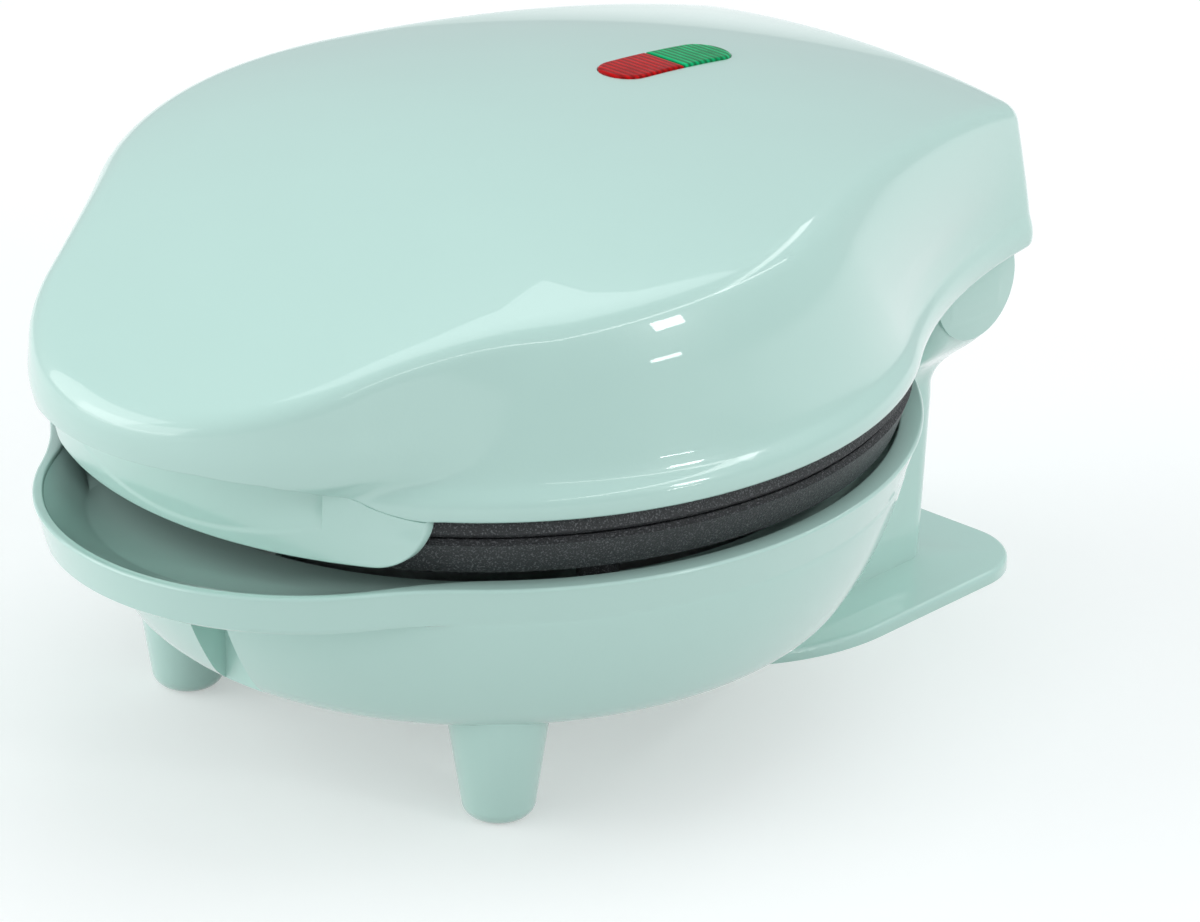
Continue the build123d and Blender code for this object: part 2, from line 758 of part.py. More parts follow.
def rear_stand():
    """Foot plate, hollow column and the fork that holds the hinge bushes."""
    foot = extrude(foot_outline(), amount=foot_thickness)
    foot = fillet(foot.edges().group_by(Axis.Z)[-1], 0.8)
    saddle_radius = barrel_radius + saddle_gap
    ceiling = hinge_height - saddle_radius - wall
    head = bar_x(head_barrel_radius, -head_half_width, head_half_width)
    body = foot + stand_body(0, hinge_height) + head
    body -= stand_body(wall, ceiling)
    for x in (-stand_post_x, stand_post_x):
        for y in stand_post_ys:
            near, far = sorted((x, math.copysign(column_half_width - wall / 2, x)))
            body += post(x, y, stand_post_foot, bowl_floor_height, stand_post_radius)
            body += block((near, far), (y - stand_rib / 2, y + stand_rib / 2),
                          (stand_post_foot, bowl_floor_height - 1))
            body -= post(x, y, stand_post_foot, bowl_floor_height, stand_screw[0] + joint_gap)
    for x in (-cover_post_x, cover_post_x):
        body += post(x, cover_post_y, cover_recess + cover_thickness, cover_post_height,
                     cover_post_radius)
        body -= post(x, cover_post_y, 0, cover_post_height - wall,
                     small_screw[0] + thread_clearance)
    body -= bowl_body(-joint_gap)
    clear_radius = rim_radius + head_front_gap
    body -= post(0, 0, rim_underside_height - 1, hinge_height + 20, clear_radius)
    body -= block((-outside, outside), (0, head_front), (rim_height, outside))
    gap = (-ear_inner_face, ear_inner_face)
    lip_top = hinge_height - saddle_radius * 0.66
    body -= block(gap, (0, outside), (lip_top, outside))
    body -= bar_x(saddle_radius, *gap)
    for side in (-1, 1):
        pocket = (ear_inner_face + ear_wall, head_half_width - ear_end_wall)
        low, high = sorted((side * pocket[0], side * pocket[1]))
        body -= bar_x(ear_pocket_radius, low, high)
        body -= block((low, high), (hinge_y - ear_pocket_radius, hinge_y + ear_pocket_radius),
                      (ceiling - 1, hinge_height))
        low, high = sorted((side * ear_inner_face, side * pocket[0]))
        body -= bar_x(bush_radius + bush_press_gap, low, high)
    body -= cover_plan(cover_lip + joint_gap, cover_recess + cover_thickness)
    body -= gland_place() * gland_solid(gland_body_radius + bush_press_gap, 20)
    return body


def cover_plan(lip, height):
    """A slab over the open foot of the column, larger by the lip on each side."""
    return extrude(column_plan(0, wall - lip), amount=height)


def foot_cover():
    """Plate that closes the column from below."""
    plate = level(cover_plan(cover_lip, cover_thickness), cover_recess)
    for x in (-cover_post_x, cover_post_x):
        plate -= post(x, cover_post_y, 0, 10, small_screw[0] + joint_gap)
        depth = small_screw[2]
        cone = Cone(small_screw[1], small_screw[0], depth)
        plate -= Pos(x, cover_post_y, cover_recess + depth / 2) * cone
    return plate


def foot_cover_screws():
    screw = upside_down(countersunk(small_screw, 8.0))
    xs = (-cover_post_x, cover_post_x)
    return Part() + [Pos(x, cover_post_y, cover_recess) * screw for x in xs]


def stand_screws():
    screw = upside_down(pan_head(stand_screw, stand_screw_length))
    spots = [(x, y) for x in (-stand_post_x, stand_post_x) for y in stand_post_ys]
    return Part() + [Pos(x, y, stand_post_foot) * screw for x, y in spots]


def gland_place():
    """Where the cord gland sits on the leaning rear face of the column."""
    lean = math.degrees(math.atan(column_rear_lean / column_straight_height))
    rear = column_rear_at(gland_height)
    return Pos(0, rear, gland_height) * Rot(-90 - lean, 0, 0)


def gland_solid(radius, length):
    """A cylinder through the rear wall, centred on its outer face."""
    return Cylinder(radius, length)


def cord_gland():
    """Rubber bush that lines the hole for the mains cord."""
    flange = Pos(0, 0, gland_flange_thickness / 2) * Cylinder(gland_flange_radius,
                                                              gland_flange_thickness)
    length = wall + 1.0
    bush = flange + Pos(0, 0, -length / 2) * Cylinder(gland_body_radius, length)
    bush = fillet(bush.edges().sort_by(Axis.Z)[-1], 0.6)
    return gland_place() * (bush - Cylinder(gland_bore_radius, 30))


def hinge_bush(side):
    """Hollow bush pressed into one ear, on which the lid's barrel turns."""
    ear_back = ear_inner_face + ear_wall
    low, high = sorted((side * bush_inner_end, side * ear_back))
    bush = bar_x(bush_radius, low, high)
    low, high = sorted((side * ear_back, side * (ear_back + bush_flange_thickness)))
    bush += bar_x(bush_flange_radius, low, high)
    return bush - bar_x(bush_bore_radius, -50, 50)


def guard_top_view(gap):
    """Front view of the room that the lid leaves for the guard, less a gap."""
    right = [(x - gap, z - gap) for x, z in guard_crease]
    left = [(-x, z) for x, z in reversed(right)]
    low = guard_bottom - 5
    return make_face(Polyline((right[0][0], low), *right, *left, (left[-1][0], low), close=True))


def guard_front_view():
    """Front view of the guard: round corners below, cut back under the lid's crease."""
    view = guard_top_view(joint_gap) & Pos(0, guard_bottom + 50) * Rectangle(200, 100)
    return fillet(view.vertices().group_by(Axis.Y)[0], guard_corner)


def lid_section_at(height):
    """The lid's outline values between the edge of the handle and the crease."""
    share = (height - lid_cap_edge[0]) / (lid_crease[0] - lid_cap_edge[0])
    return tuple(low + (high - low) * share for low, high in zip(lid_cap_edge, lid_crease))


def handle_guard():
    """Apron in front of the plates, with the floor that closes the hollow handle."""
    inner = plate_radius + guard_gap
    outer = inner + guard_wall
    ring = post(0, 0, guard_bottom, lid_cap_edge[0], outer)
    ring -= post(0, 0, guard_bottom, lid_cap_edge[0], inner)
    apron = ring & extrude(Plane.XZ * guard_front_view(), amount=outer + 5)
    recess = post(0, 0, guard_recess_bottom, lid_cap_edge[0], outer + 1)
    recess -= post(0, 0, guard_recess_bottom, lid_cap_edge[0], outer - guard_recess_depth)
    recess &= block((-guard_recess_half_width, guard_recess_half_width), (-100, 0), (0, 100))
    apron -= recess
    low = lid_cap_edge[0] + guard_floor_recess
    inset = wall + joint_gap
    plans = [lid_outline(lid_section_at(height), inset, True) for height in (low, low + wall)]
    floor = loft(plans, ruled=True)
    floor -= post(0, 0, low - 1, low + wall + 1, inner)
    neck = ring & block((-guard_crease[-1][0], guard_crease[-1][0]), (-100, 0), (0, 100))
    neck = Pos(0, 0, low - lid_cap_edge[0]) * neck
    neck -= recess
    reach = guard_crease[-2][0]
    floor &= block((-reach, reach), (-100, 0), (0, 100))
    guard = apron + neck + floor
    for x in (-guard_screw_x, guard_screw_x):
        guard -= post(x, guard_screw_y, low, low + wall, small_screw[0] + joint_gap)
        guard -= post(x, guard_screw_y, low, low + small_screw[2], small_screw[1] + joint_gap)
    return guard


def guard_screws():
    seat = lid_cap_edge[0] + guard_floor_recess + small_screw[2]
    screw = upside_down(pan_head(small_screw, guard_screw_length))
    xs = (-guard_screw_x, guard_screw_x)
    return Part() + [Pos(x, guard_screw_y, seat) * screw for x in xs]


def lid_cover():
    """The lid's outer moulding with its handle, screw bosses and hinge barrel."""
    solid = lid_body(0)
    cover = solid - lid_body(wall)
    cover -= extrude(Plane.XZ * guard_top_view(0), amount=handle_reach + 5)
    arch = RectangleRounded(2 * (head_half_width + swing_gap), 40, rear_arch_corner)
    arch = extrude(Plane.XZ * arch, amount=30, both=True)
    cover -= Pos(0, hinge_y + 30 + head_barrel_radius, rear_arch_height - 20) * arch
    bosses = []
    low = seam_height + flange_back
    for angle in plate_screw_angles:
        x, y = radial(plate_screw_ring, angle)
        bosses.append(post(x, y, low, crown_height, plate_boss_radius))
    guard_top = lid_cap_edge[0] + guard_floor_recess + wall
    for x in (-guard_screw_x, guard_screw_x):
        bosses.append(post(x, guard_screw_y, guard_top, crown_height, guard_boss_radius))
    for x in (-holder_screw_x, holder_screw_x):
        bosses.append(post(x, lens_y, holder_height() + holder_thickness, crown_height,
                           holder_ear_radius))
    for side in (-1, 1):
        near, far = sorted((side * web_inner_x, side * barrel_half_length))
        bosses.append(block((near, far), (hinge_y - web_front, hinge_y + web_rear),
                            (hinge_height, crown_height)))
    inside = lid_body(wall / 2)
    for boss in bosses:
        cover += boss & inside
    cover += bar_x(barrel_radius, -barrel_half_length, barrel_half_length)
    for web in hinge_webs():
        cover += web
    cover -= bar_x(bush_radius + bush_running_gap, -barrel_half_length, barrel_half_length)
    cover -= post(0, hinge_y, hinge_height, hinge_height + 12, bush_radius)
    hole = plate_screw[0] + thread_clearance
    for angle in plate_screw_angles:
        x, y = radial(plate_screw_ring, angle)
        cover -= post(x, y, low, low + plate_screw_length, hole)
    hole = small_screw[0] + thread_clearance
    for x in (-guard_screw_x, guard_screw_x):
        tip = guard_top - wall + small_screw[2] + guard_screw_length
        cover -= post(x, guard_screw_y, guard_top, tip + screw_tip_room, hole)
    for x in (-holder_screw_x, holder_screw_x):
        low_end = holder_height() + holder_thickness
        cover -= post(x, lens_y, low_end, low_end + small_screw_length, hole)
    opening = extrude(lens_plan(0), amount=crown_height + 5)
    return cover - opening


def hinge_webs():
    """Ribs that tie the hinge barrel to the lid's roof."""
    webs = []
    for side in (-1, 1):
        near, far = sorted((side * web_inner_x, side * barrel_half_length))
        webs.append(block((near, far), (hinge_y - web_front, hinge_y + web_rear),
                          (hinge_height, hinge_height + barrel_radius + 2)))
    return webs


def lens_plan(inset):
    """Plan of the window for both lights: a slot with round ends along y."""
    slot = SlotOverall(lens_length - 2 * inset, lens_width - 2 * inset)
    return Pos(0, lens_y) * slot.rotate(Axis.Z, 90)


def lens(half):
    """One coloured lens: the front (-1) or rear (1) half of the slot."""
    tall = extrude(level(lens_plan(lens_seat_gap), lens_base_height), amount=20)
    tall &= crown_block(-lens_proud)
    flange = extrude(level(lens_plan(-lens_flange), lens_base_height), amount=20)
    flange &= crown_block(wall + 0.02)
    skin = crown_block(wall + 0.02 + lens_flange_thickness)
    flange -= skin
    body = tall + flange
    if half < 0:
        keep = block((-50, 50), (0, lens_y - 0.03), (0, 200))
    else:
        keep = block((-50, 50), (lens_y + 0.03, 100), (0, 200))
    return body & keep


def holder_height():
    """Underside of the plate that carries the lamps."""
    return lamp_height - lamp_radius - holder_thickness


def lamp_holder():
    """Plate under the lenses, with cradles for the lamps and a wall between the colours."""
    low = holder_height()
    plate = Pos(0, lens_y, low) * extrude(Rectangle(holder_width, holder_length),
                                          amount=holder_thickness)
    for x in (-holder_screw_x, holder_screw_x):
        ear = post(x, lens_y, low, low + holder_thickness, holder_ear_radius)
        near, far = sorted((0, x))
        bridge = block((near, far), (lens_y - holder_ear_radius, lens_y + holder_ear_radius),
                       (low, low + holder_thickness))
        plate = plate + ear + bridge
    plate += block((-holder_width / 2, holder_width / 2), (lens_y - 0.6, lens_y + 0.6),
                   (low, lens_base_height - 0.3))
    for x in (-holder_screw_x, holder_screw_x):
        plate -= post(x, lens_y, low, low + holder_thickness, small_screw[0] + joint_gap)
    for side in (-1, 1):
        plate -= post(0, lens_y + side * (holder_length / 2 - 1.6), low, low + holder_thickness,
                      1.0)
    return plate


def holder_screws():
    screw = upside_down(pan_head(small_screw, holder_thickness + small_screw_length - 1))
    xs = (-holder_screw_x, holder_screw_x)
    return Part() + [Pos(x, lens_y, holder_height()) * screw for x in xs]


def lamp(side):
    """A small glow lamp lying on the holder under one lens."""
    bulb = Rot(0, 90, 0) * Cylinder(lamp_radius, lamp_length)
    bulb = fillet(bulb.edges(), 1.0)
    return Pos(0, lens_y + side * lamp_spacing / 2, lamp_height) * bulb


def terminal_block():
    """Three-way block on the bowl's floor."""
    low = bowl_floor_height + wall + terminal_seat_height
    body = block((-terminal_length / 2, terminal_length / 2),
                 (terminal_y - terminal_width / 2, terminal_y + terminal_width / 2),
                 (low, low + terminal_height))
    for x in terminal_ways:
        tube = Rot(90, 0, 0) * Cylinder(terminal_way_radius, terminal_width)
        body -= Pos(x, terminal_y, low + terminal_height / 2) * tube
    body = chamfer(body.edges().group_by(Axis.Z)[-1], 0.8)
    body -= post(0, terminal_y, low, low + 2.0, small_screw[0] + joint_gap)
    return body


def terminal_screw():
    """Stud that holds the block on its seat."""
    low = bowl_floor_height + wall + terminal_seat_height
    return post(0, terminal_y, low - terminal_seat_height + 0.2, low + 1.9, small_screw[0])


def thermal_fuse():
    """Cut-out in its sleeve, under the reflector."""
    return Pos(fuse_x, fuse_y, fuse_level) * Rot(90, 0, 0) * Cylinder(fuse_radius, fuse_length)


def fuse_clip():
    """Strap that holds the sleeve against the reflector."""
    top = fuse_level + fuse_radius
    place = Pos(fuse_x, fuse_y, fuse_level) * Rot(90, 0, 0)
    clip = place * Cylinder(fuse_radius + 0.7, 5.0)
    tabs = block((fuse_x - fuse_radius - 4.5, fuse_x + fuse_radius + 4.5),
                 (fuse_y - 2.5, fuse_y + 2.5), (top - 0.7, top))
    clip = (clip & block((-100, 100), (-100, 100), (0, top))) + tabs
    return clip - place * Cylinder(fuse_radius + 0.03, 6.0)


def lead(*points):
    """A round insulated lead with rounded bends."""
    path = FilletPolyline(*points, radius=lead_bend)
    return sweep(Plane(origin=path @ 0, z_dir=path % 0) * Circle(lead_radius), path=path)


def lamp_lead(*points):
    """A thin lamp wire with rounded bends."""
    path = FilletPolyline(*points, radius=lamp_lead_bend)
    return sweep(Plane(origin=path @ 0, z_dir=path % 0) * Circle(lamp_lead_radius), path=path)


terminal_ways = [terminal_way_pitch * way for way in (-1.5, -0.5, 0.5, 1.5)]
terminal_level = bowl_floor_height + wall + terminal_seat_height + terminal_height / 2
terminal_rear = terminal_y + terminal_width / 2 + lead_gap
terminal_front = terminal_y - terminal_width / 2 - lead_gap
fuse_level = seam_height - pan_floor_level - pan_thickness - fuse_radius - lead_gap
pin_y = element_end_reach + element_pin_length / 2
pin_reach = element_level + element_pin_radius + lead_gap
blade_reach = (back_level + thermostat_flange_thickness + thermostat_body_height + blade_length
               + lead_gap)
blade_x = blade_spacing / 2
link_reach = blade_reach + 4.1
lid_lead_level = seam_height + pan_floor_level + 5.0


def base_leads():
    """Leads between the block, the lower thermostat, the element and the fuse."""
    from_block = lead(
        (blade_x, thermostat_y, seam_height - blade_reach),
        (blade_x, thermostat_y, terminal_level), (blade_x, terminal_rear, terminal_level))
    to_element = lead(
        (-blade_x, thermostat_y, seam_height - blade_reach),
        (-blade_x, thermostat_y, seam_height - link_reach),
        (-element_end_spacing, pin_y, seam_height - link_reach),
        (-element_end_spacing, pin_y, seam_height - pin_reach))
    to_fuse = lead(
        (element_end_spacing, pin_y, seam_height - pin_reach),
        (element_end_spacing, pin_y, fuse_level), (fuse_x, pin_y - 21, fuse_level),
        (fuse_x, fuse_y + fuse_length / 2 + lead_gap, fuse_level))
    from_fuse = lead(
        (fuse_x, fuse_y - fuse_length / 2 - lead_gap, fuse_level),
        (fuse_x, terminal_front - 12, fuse_level),
        (-blade_x, terminal_front - 12, terminal_level),
        (-blade_x, terminal_front, terminal_level))
    return Part() + [from_block, to_element, to_fuse, from_fuse]


def hinge_leads():
    """Two leads from the block down into the column and up into the hinge bushes."""
    ear_x = ear_inner_face + ear_wall + bush_flange_thickness + 2.7
    low_x = ear_x - 11.6
    leads = []
    for side in (-1, 1):
        leads.append(lead(
            (side * terminal_ways[-1], terminal_rear, terminal_level),
            (side * terminal_ways[-1], terminal_rear + 18, terminal_level),
            (side * 2.4, cable_hole_y, terminal_level), (side * 2.4, cable_hole_y, 12.0),
            (side * 10.0, hinge_y - 5, 16.0), (side * low_x, hinge_y, hinge_height - 20.9),
            (side * ear_x, hinge_y, hinge_height - 9.3), (side * ear_x, hinge_y, hinge_height),
            (side * lead_join_x, hinge_y, hinge_height)))
    return Part() + leads


def lid_leads():
    """Leads from the hinge barrel to the upper thermostat and element."""
    start = lead_join_x - lead_gap
    drop = seam_height + blade_reach
    pin_top = seam_height + pin_reach
    live = lead(
        (start, hinge_y, hinge_height), (1.6, hinge_y, hinge_height),
        (1.6, hinge_y, lid_lead_level), (live_bend_x, live_bend_y, lid_lead_level),
        (-blade_x, thermostat_y, lid_lead_level),
        (-blade_x, thermostat_y, drop))
    link = lead(
        (blade_x, thermostat_y, drop), (blade_x, thermostat_y, lid_lead_level),
        (element_end_spacing, pin_y, lid_lead_level), (element_end_spacing, pin_y, pin_top))
    neutral = lead(
        (-start, hinge_y, hinge_height), (-1.6, hinge_y, hinge_height),
        (-1.6, hinge_y, lid_lead_level - 3.5), (-element_end_spacing, pin_y, lid_lead_level - 3.5),
        (-element_end_spacing, pin_y, pin_top))
    return Part() + [live, link, neutral]


def lamp_leads():
    """Wires from both ends of each lamp, round the holder's edge to the leads below."""
    edge = holder_width / 2 + lamp_lead_radius + 1.0
    end = lamp_length / 2 + lead_gap
    wires = []
    for side in (-1, 1):
        y = lens_y + side * lamp_spacing / 2
        wires.append(lamp_lead((end, y, lamp_height), (edge, y, lamp_height),
                               (edge, y, lid_lead_level + lead_radius + 0.6)))
        share = (y - thermostat_y) / (live_bend_y - thermostat_y)
        live_x = -blade_x + share * (live_bend_x + blade_x) - lead_radius - 0.35
        wires.append(lamp_lead((-end, y, lamp_height), (-edge, y, lamp_height),
                               (-edge, y, lid_lead_level), (live_x, y, lid_lead_level)))
    return Part() + wires


nodes = {}


def stack_nodes(prefix, place):
    """The parts of one heating stack, moved to their place."""
    makers = {
        "plate": heating_plate, "heating_element": heating_element,
        "element_clamps": element_clamps, "clamp_screws": clamp_screws,
        "reflector": reflector, "reflector_screw": reflector_screw,
        "thermostat": thermostat, "thermostat_screws": thermostat_screws,
        "plate_screws": plate_screws,
    }
    for name, maker in makers.items():
        nodes[prefix + name] = place(maker())


stack_nodes("lower_", lambda shape: level(shape, seam_height))
stack_nodes("upper_", lambda shape: level(mirror(shape, about=Plane.XY), seam_height))
nodes["base_housing"] = base_housing()
nodes["rear_stand"] = rear_stand()
nodes["foot_cover"] = foot_cover()
nodes["foot_cover_screws"] = foot_cover_screws()
nodes["stand_screws"] = stand_screws()
nodes["cord_gland"] = cord_gland()
nodes["hinge_bush_left"] = hinge_bush(-1)
nodes["hinge_bush_right"] = hinge_bush(1)
nodes["lid_cover"] = lid_cover()
nodes["handle_guard"] = handle_guard()
nodes["guard_screws"] = guard_screws()
nodes["red_lens"] = lens(-1)
nodes["green_lens"] = lens(1)
nodes["lamp_holder"] = lamp_holder()
nodes["holder_screws"] = holder_screws()
nodes["red_lamp"] = lamp(-1)
nodes["green_lamp"] = lamp(1)
nodes["terminal_block"] = terminal_block()
nodes["terminal_screw"] = terminal_screw()
nodes["thermal_fuse"] = thermal_fuse()
nodes["fuse_clip"] = fuse_clip()
nodes["base_leads"] = base_leads()
nodes["hinge_leads"] = hinge_leads()
nodes["lid_leads"] = lid_leads()
nodes["lamp_leads"] = lamp_leads()

centre_shift = (handle_reach - foot_rear) / 2
for name, shape in nodes.items():
    export_step(Pos(0, centre_shift, 0) * shape, f"parts/{name}.step")
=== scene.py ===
import json
import math

import bmesh
import bpy
import numpy as np
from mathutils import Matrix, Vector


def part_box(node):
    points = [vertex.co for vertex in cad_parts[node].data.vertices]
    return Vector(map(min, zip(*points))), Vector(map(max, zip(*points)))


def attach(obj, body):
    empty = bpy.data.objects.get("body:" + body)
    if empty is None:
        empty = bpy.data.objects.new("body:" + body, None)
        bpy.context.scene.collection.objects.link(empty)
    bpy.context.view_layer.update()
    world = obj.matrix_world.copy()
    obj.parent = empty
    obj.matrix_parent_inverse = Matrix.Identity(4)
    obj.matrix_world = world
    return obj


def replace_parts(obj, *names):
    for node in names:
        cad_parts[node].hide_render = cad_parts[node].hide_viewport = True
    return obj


# Looks of the mini waffle maker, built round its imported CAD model. Shapes are worked out
# in millimetres about the axis of the round plates, x sideways, y towards the hinge and
# z = 0 on the table, as in the part's source, and are moved into the frame when a piece
# is made.

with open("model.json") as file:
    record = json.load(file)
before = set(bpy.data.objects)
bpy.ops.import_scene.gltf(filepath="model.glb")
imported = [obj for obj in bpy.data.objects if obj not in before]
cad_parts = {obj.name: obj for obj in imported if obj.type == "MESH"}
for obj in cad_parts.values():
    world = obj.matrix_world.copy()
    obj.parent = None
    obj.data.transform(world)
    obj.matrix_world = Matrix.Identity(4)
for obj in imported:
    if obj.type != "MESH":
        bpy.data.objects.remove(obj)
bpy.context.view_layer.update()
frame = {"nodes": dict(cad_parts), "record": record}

plate_low, plate_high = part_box("lower_plate")
millimetre = 0.001
plate_axis_y = (plate_low.y + plate_high.y) / 2
hinge_y, hinge_height = 81.0, 56.3

# Camera, from the vanishing lines and the known heights in the photograph
camera_place = (827.9, -864.2, 578.3)
camera_turn = 0.7485
camera_pitch = 0.4231
camera_lens = 240.0
camera_sensor = 36.0
camera_clip = (0.1, 20.0)

# Studio, in metres: world, floor, where the lights aim and how far off the windows stand
world_colour = (0.93, 0.97, 1.0, 1.0)
world_strength = 0.51
floor_colour = (0.655, 0.67, 0.665, 1.0)
floor_lift = 0.38
floor_reach = 6.0
white = (1.0, 1.0, 1.0, 1.0)
light_aim = (0, 0, 0.05)
window_aim = (0, 0, 0.06)
window_distance = 1.6

# Finishes and meshes: bump and weld in metres, sockets of a colour mix, angle of a sharp edge
bump_distance = 0.0004
mix_first, mix_second, mix_result = 6, 7, 2
sharp_angle = 35.0
weld_distance = 1e-6

# Lid moulding by level above the table
lid_heights = (60.5, 62.4, 64.2, 65.4, 66.2, 67.2, 71.0, 77.6, 83.9, 87.6, 92.6, 101.5)
lid_main = (70.8, 71.2, 70.8, 69.9, 69.25, 68.8, 67.7, 66.1, 64.5, 63.1, 60.5, 56.0)
lid_lobe = (34.5, 35.0, 36.2, 37.3, 37.9, 38.6, 39.83, 39.6, 38.9, 38.5, 37.9, 36.9)
lid_lobe_offset = (47.2, 47.2, 47.2, 47.2, 47.2, 47.2, 47.2, 47.3, 47.4, 47.4, 47.4, 47.4)
lid_hollow = (8.0, 10.0, 14.0, 20.0, 26.0, 34.0, 60.0, 100.0, 130.0, 140.0, 150.0, 150.0)
lid_half_width = (38.9, 39.1, 38.9, 38.6, 38.4, 38.3, 37.7, 36.7, 35.7, 35.3, 34.8, 33.7)
lid_rear = (94.2, 94.3, 94.2, 94.1, 94.1, 94.05, 94.0, 93.7, 93.4, 93.2, 93.0, 92.8)
lid_rear_hollow = (107.0, 107.0, 112.0, 116.0, 120.0, 126.0, 150.0, 300.0, 500.0, 540.0, 580.0,
                   650.0)
lid_corner = 4.2
lid_bow = 0.9
lid_wall = 2.2
lid_lip_round = 0.7
handle_lip_round = 0.12
ridge_down = 3.0
ridge_in = 3.2
crown_top = 99.9
crown_y = 6.3
crown_front_radius = 201.0
crown_rear_radius = 294.0
crown_cross_radius = 258.0
arch_half_width = 36.25
arch_height = 69.0
arch_corner = 5.0
arch_front = 90.9
arch_cut_drop = 40.0
arch_cut_length = 30.0
window_cut = (80.0, 110.0)
lip_fade_lead, lip_fade_width = 0.5, 2.5
plan_low, plan_high, plan_step = 60.0, 104.0, 0.5
crown_gather = (0.0, 8.0)

# Lower edge of the handle, in front view: distance from the middle, height
handle_edge_x = (0.0, 17.0, 25.4, 29.1, 30.8, 32.2, 34.1, 36.4, 38.7, 40.9, 45.0, 60.0)
handle_edge_z = (69.8, 69.6, 68.4, 67.0, 65.5, 63.8, 62.7, 61.9, 61.1, 60.6, 60.5, 60.5)

# Guard that hangs in front of the plates
guard_inner = 69.95
guard_wall = 1.75
guard_bottom = 52.5
guard_half_width = 41.6
guard_corner = 6.8
guard_edge_round = 0.35
guard_top_round = 0.1
guard_gap = 0.05
guard_medial_reach = 34.6
recess_half_width = 27.6
lean_start = 0.45
recess_side = 0.3
recess_end_depth = 1.35
recess_middle_bottom = 54.0
recess_end_bottom = 58.2
recess_edge = 0.9
recess_depth = 0.12
recess_slope = 7.0
handle_floor_low = 70.2
handle_floor_thickness = 2.2
handle_floor_inset = 2.35
handle_floor_reach = 37.6
handle_floor_rear = -69.5
handle_floor_centre = (0.0, -77.0)
handle_floor_round = 0.3
handle_floor_span = 20.0
handle_floor_overlap = 0.2

# Base moulding
bowl_floor = 18.0
bowl_pole_radius = 6.0
bowl_floor_radius = 52.4
bowl_corner_end = (61.1, 22.8)
bowl_corner_inward = np.array([-0.85, 0.53])
bowl_side_end = (69.0, 42.5)
bowl_side_drop = 0.6
bowl_wall = 2.2
rim_height = 49.5
rim_underside = 42.5
rim_radius = 71.4
rim_low_radius = 69.05
rim_round = 0.5
rim_lobe = 44.1
rim_low_lobe = 42.4
rim_lobe_offset = 41.5
rim_hollow = 58.0
ledge_radius = 67.4
dish_radius = 67.3
dish_sag = 0.225
dish_rim = 1.8
dish_slope = 9.0
dish_floor = 45.8
stack_opening = 60.1
plate_screw_ring = 61.6
plate_screw_angles = np.radians((90, 210, 330))
plate_screw_places = plate_screw_ring * np.column_stack([np.cos(plate_screw_angles),
                                                         np.sin(plate_screw_angles)])
plate_boss_radius = 3.1
plate_boss_top = 46.6
cast_boss_radius = 3.4
cast_boss_low = 46.5
cast_boss_high = 52.0
cast_boss_edge = 0.5
boss_root = 2.0
notch_x = 1.8
notch_half_width = 4.4
notch_front = -90.0
notch_back = -58.2
notch_block = (12.0, 50.8)
notch_cut = (10.0, 42.2)
leg_x, leg_y = 35.5, -34.9
leg_foot_radius = 6.1
leg_taper = 0.152
leg_round = 2.9
leg_top = 24.0

# Lights on the lid
lens_y = 42.8
lens_length = 28.6
lens_width = 9.1
lens_gap = 0.12
lens_proud = 0.45
lens_edge_round = 0.5
lens_depth = 2.4
lens_seam_gap = 0.05

# Hinge barrel and the webs that tie it to the lid's roof
barrel_radius = 8.3
barrel_half_length = 22.8
barrel_edge_round = 0.7
barrel_bore_radius = 4.3
barrel_bore_depth = 3.0
web_inner_x = 13.5
web_front = 5.0
web_rear = 3.6
web_top = 88.3
web_corner = 0.8

# Pockets in the stand's ears, whose low outer corners break through its wall, and how much
# of a corner is filled
pocket_side = 33.2
pocket_depth = 6.4
pocket_floor = 44.2
pocket_slack = 0.02
corner_width = 2.3
corner_height = 1.4

# Softened edges of the stand: roll in millimetres, merge in metres and angles in degrees
stand_edge_roll = 0.5
merge_distance = 2e-6
flat_angle = 0.6
roll_angle = 40.0

# Points on the arcs of half a plan, from the front: lobe, hollow, round and on the lid rear
# hollow, corner and bow. Then points round an edge, columns, and rings or their shares.
lid_arc_points = (34, 18, 44, 24, 10, 22)
rim_arc_points = (30, 16, 60)
edge_steps, inner_lip_steps = 5, 4
ceiling_rings = inner_wall_rings = 10
dense_share, dense_wall_rings, wall_rings = 0.26, 24, 18
ridge_rings, crown_ring_count = 9, 30
bowl_floor_rings, bowl_corner_rings, bowl_side_rings, bowl_columns = 6, 9, 22, 160
rim_under_shares = (0.25, 0.5, 0.75, 0.97)
rim_face_shares = (0.05, 0.15, 0.4, 0.7, 0.92)
dish_slope_rings, dish_floor_shares = 9, (0.33, 0.66, 1.0)
boss_columns = 32
leg_steps, leg_rings, leg_columns = 10, 8, 72
# The guard's columns, from the middle outwards, are closest about the ends of the recess
guard_columns = ((0.0, 26.9, 54), (27.0, 28.2, 13), (28.5, 34.8, 14))
guard_corner_steps, guard_side_points, guard_edge_points = 16, 4, 9
guard_face_rings, guard_back_rings = 50, 24
lens_round_points, lens_side_points, lens_edge_steps = 26, 14, 6
lens_top_shares = (0.05, 0.86, 9)
barrel_columns, web_rings = 96, 6


def to_frame(points):
    """Millimetres about the plate axis to metres in the frame: shift along y, then scale."""
    moved = np.asarray(points, float) * millimetre
    moved[..., 1] += plate_axis_y
    return moved


def photograph_camera():
    """The camera at the photograph's place, looking along its turn and pitch."""
    data = bpy.data.cameras.new("photograph_camera")
    data.lens = camera_lens
    data.sensor_width = camera_sensor
    data.clip_start, data.clip_end = camera_clip
    camera = bpy.data.objects.new("photograph_camera", data)
    camera.location = to_frame(camera_place)
    camera.rotation_euler = (math.pi / 2 - camera_pitch, 0, camera_turn)
    bpy.context.scene.collection.objects.link(camera)
    bpy.context.scene.camera = camera


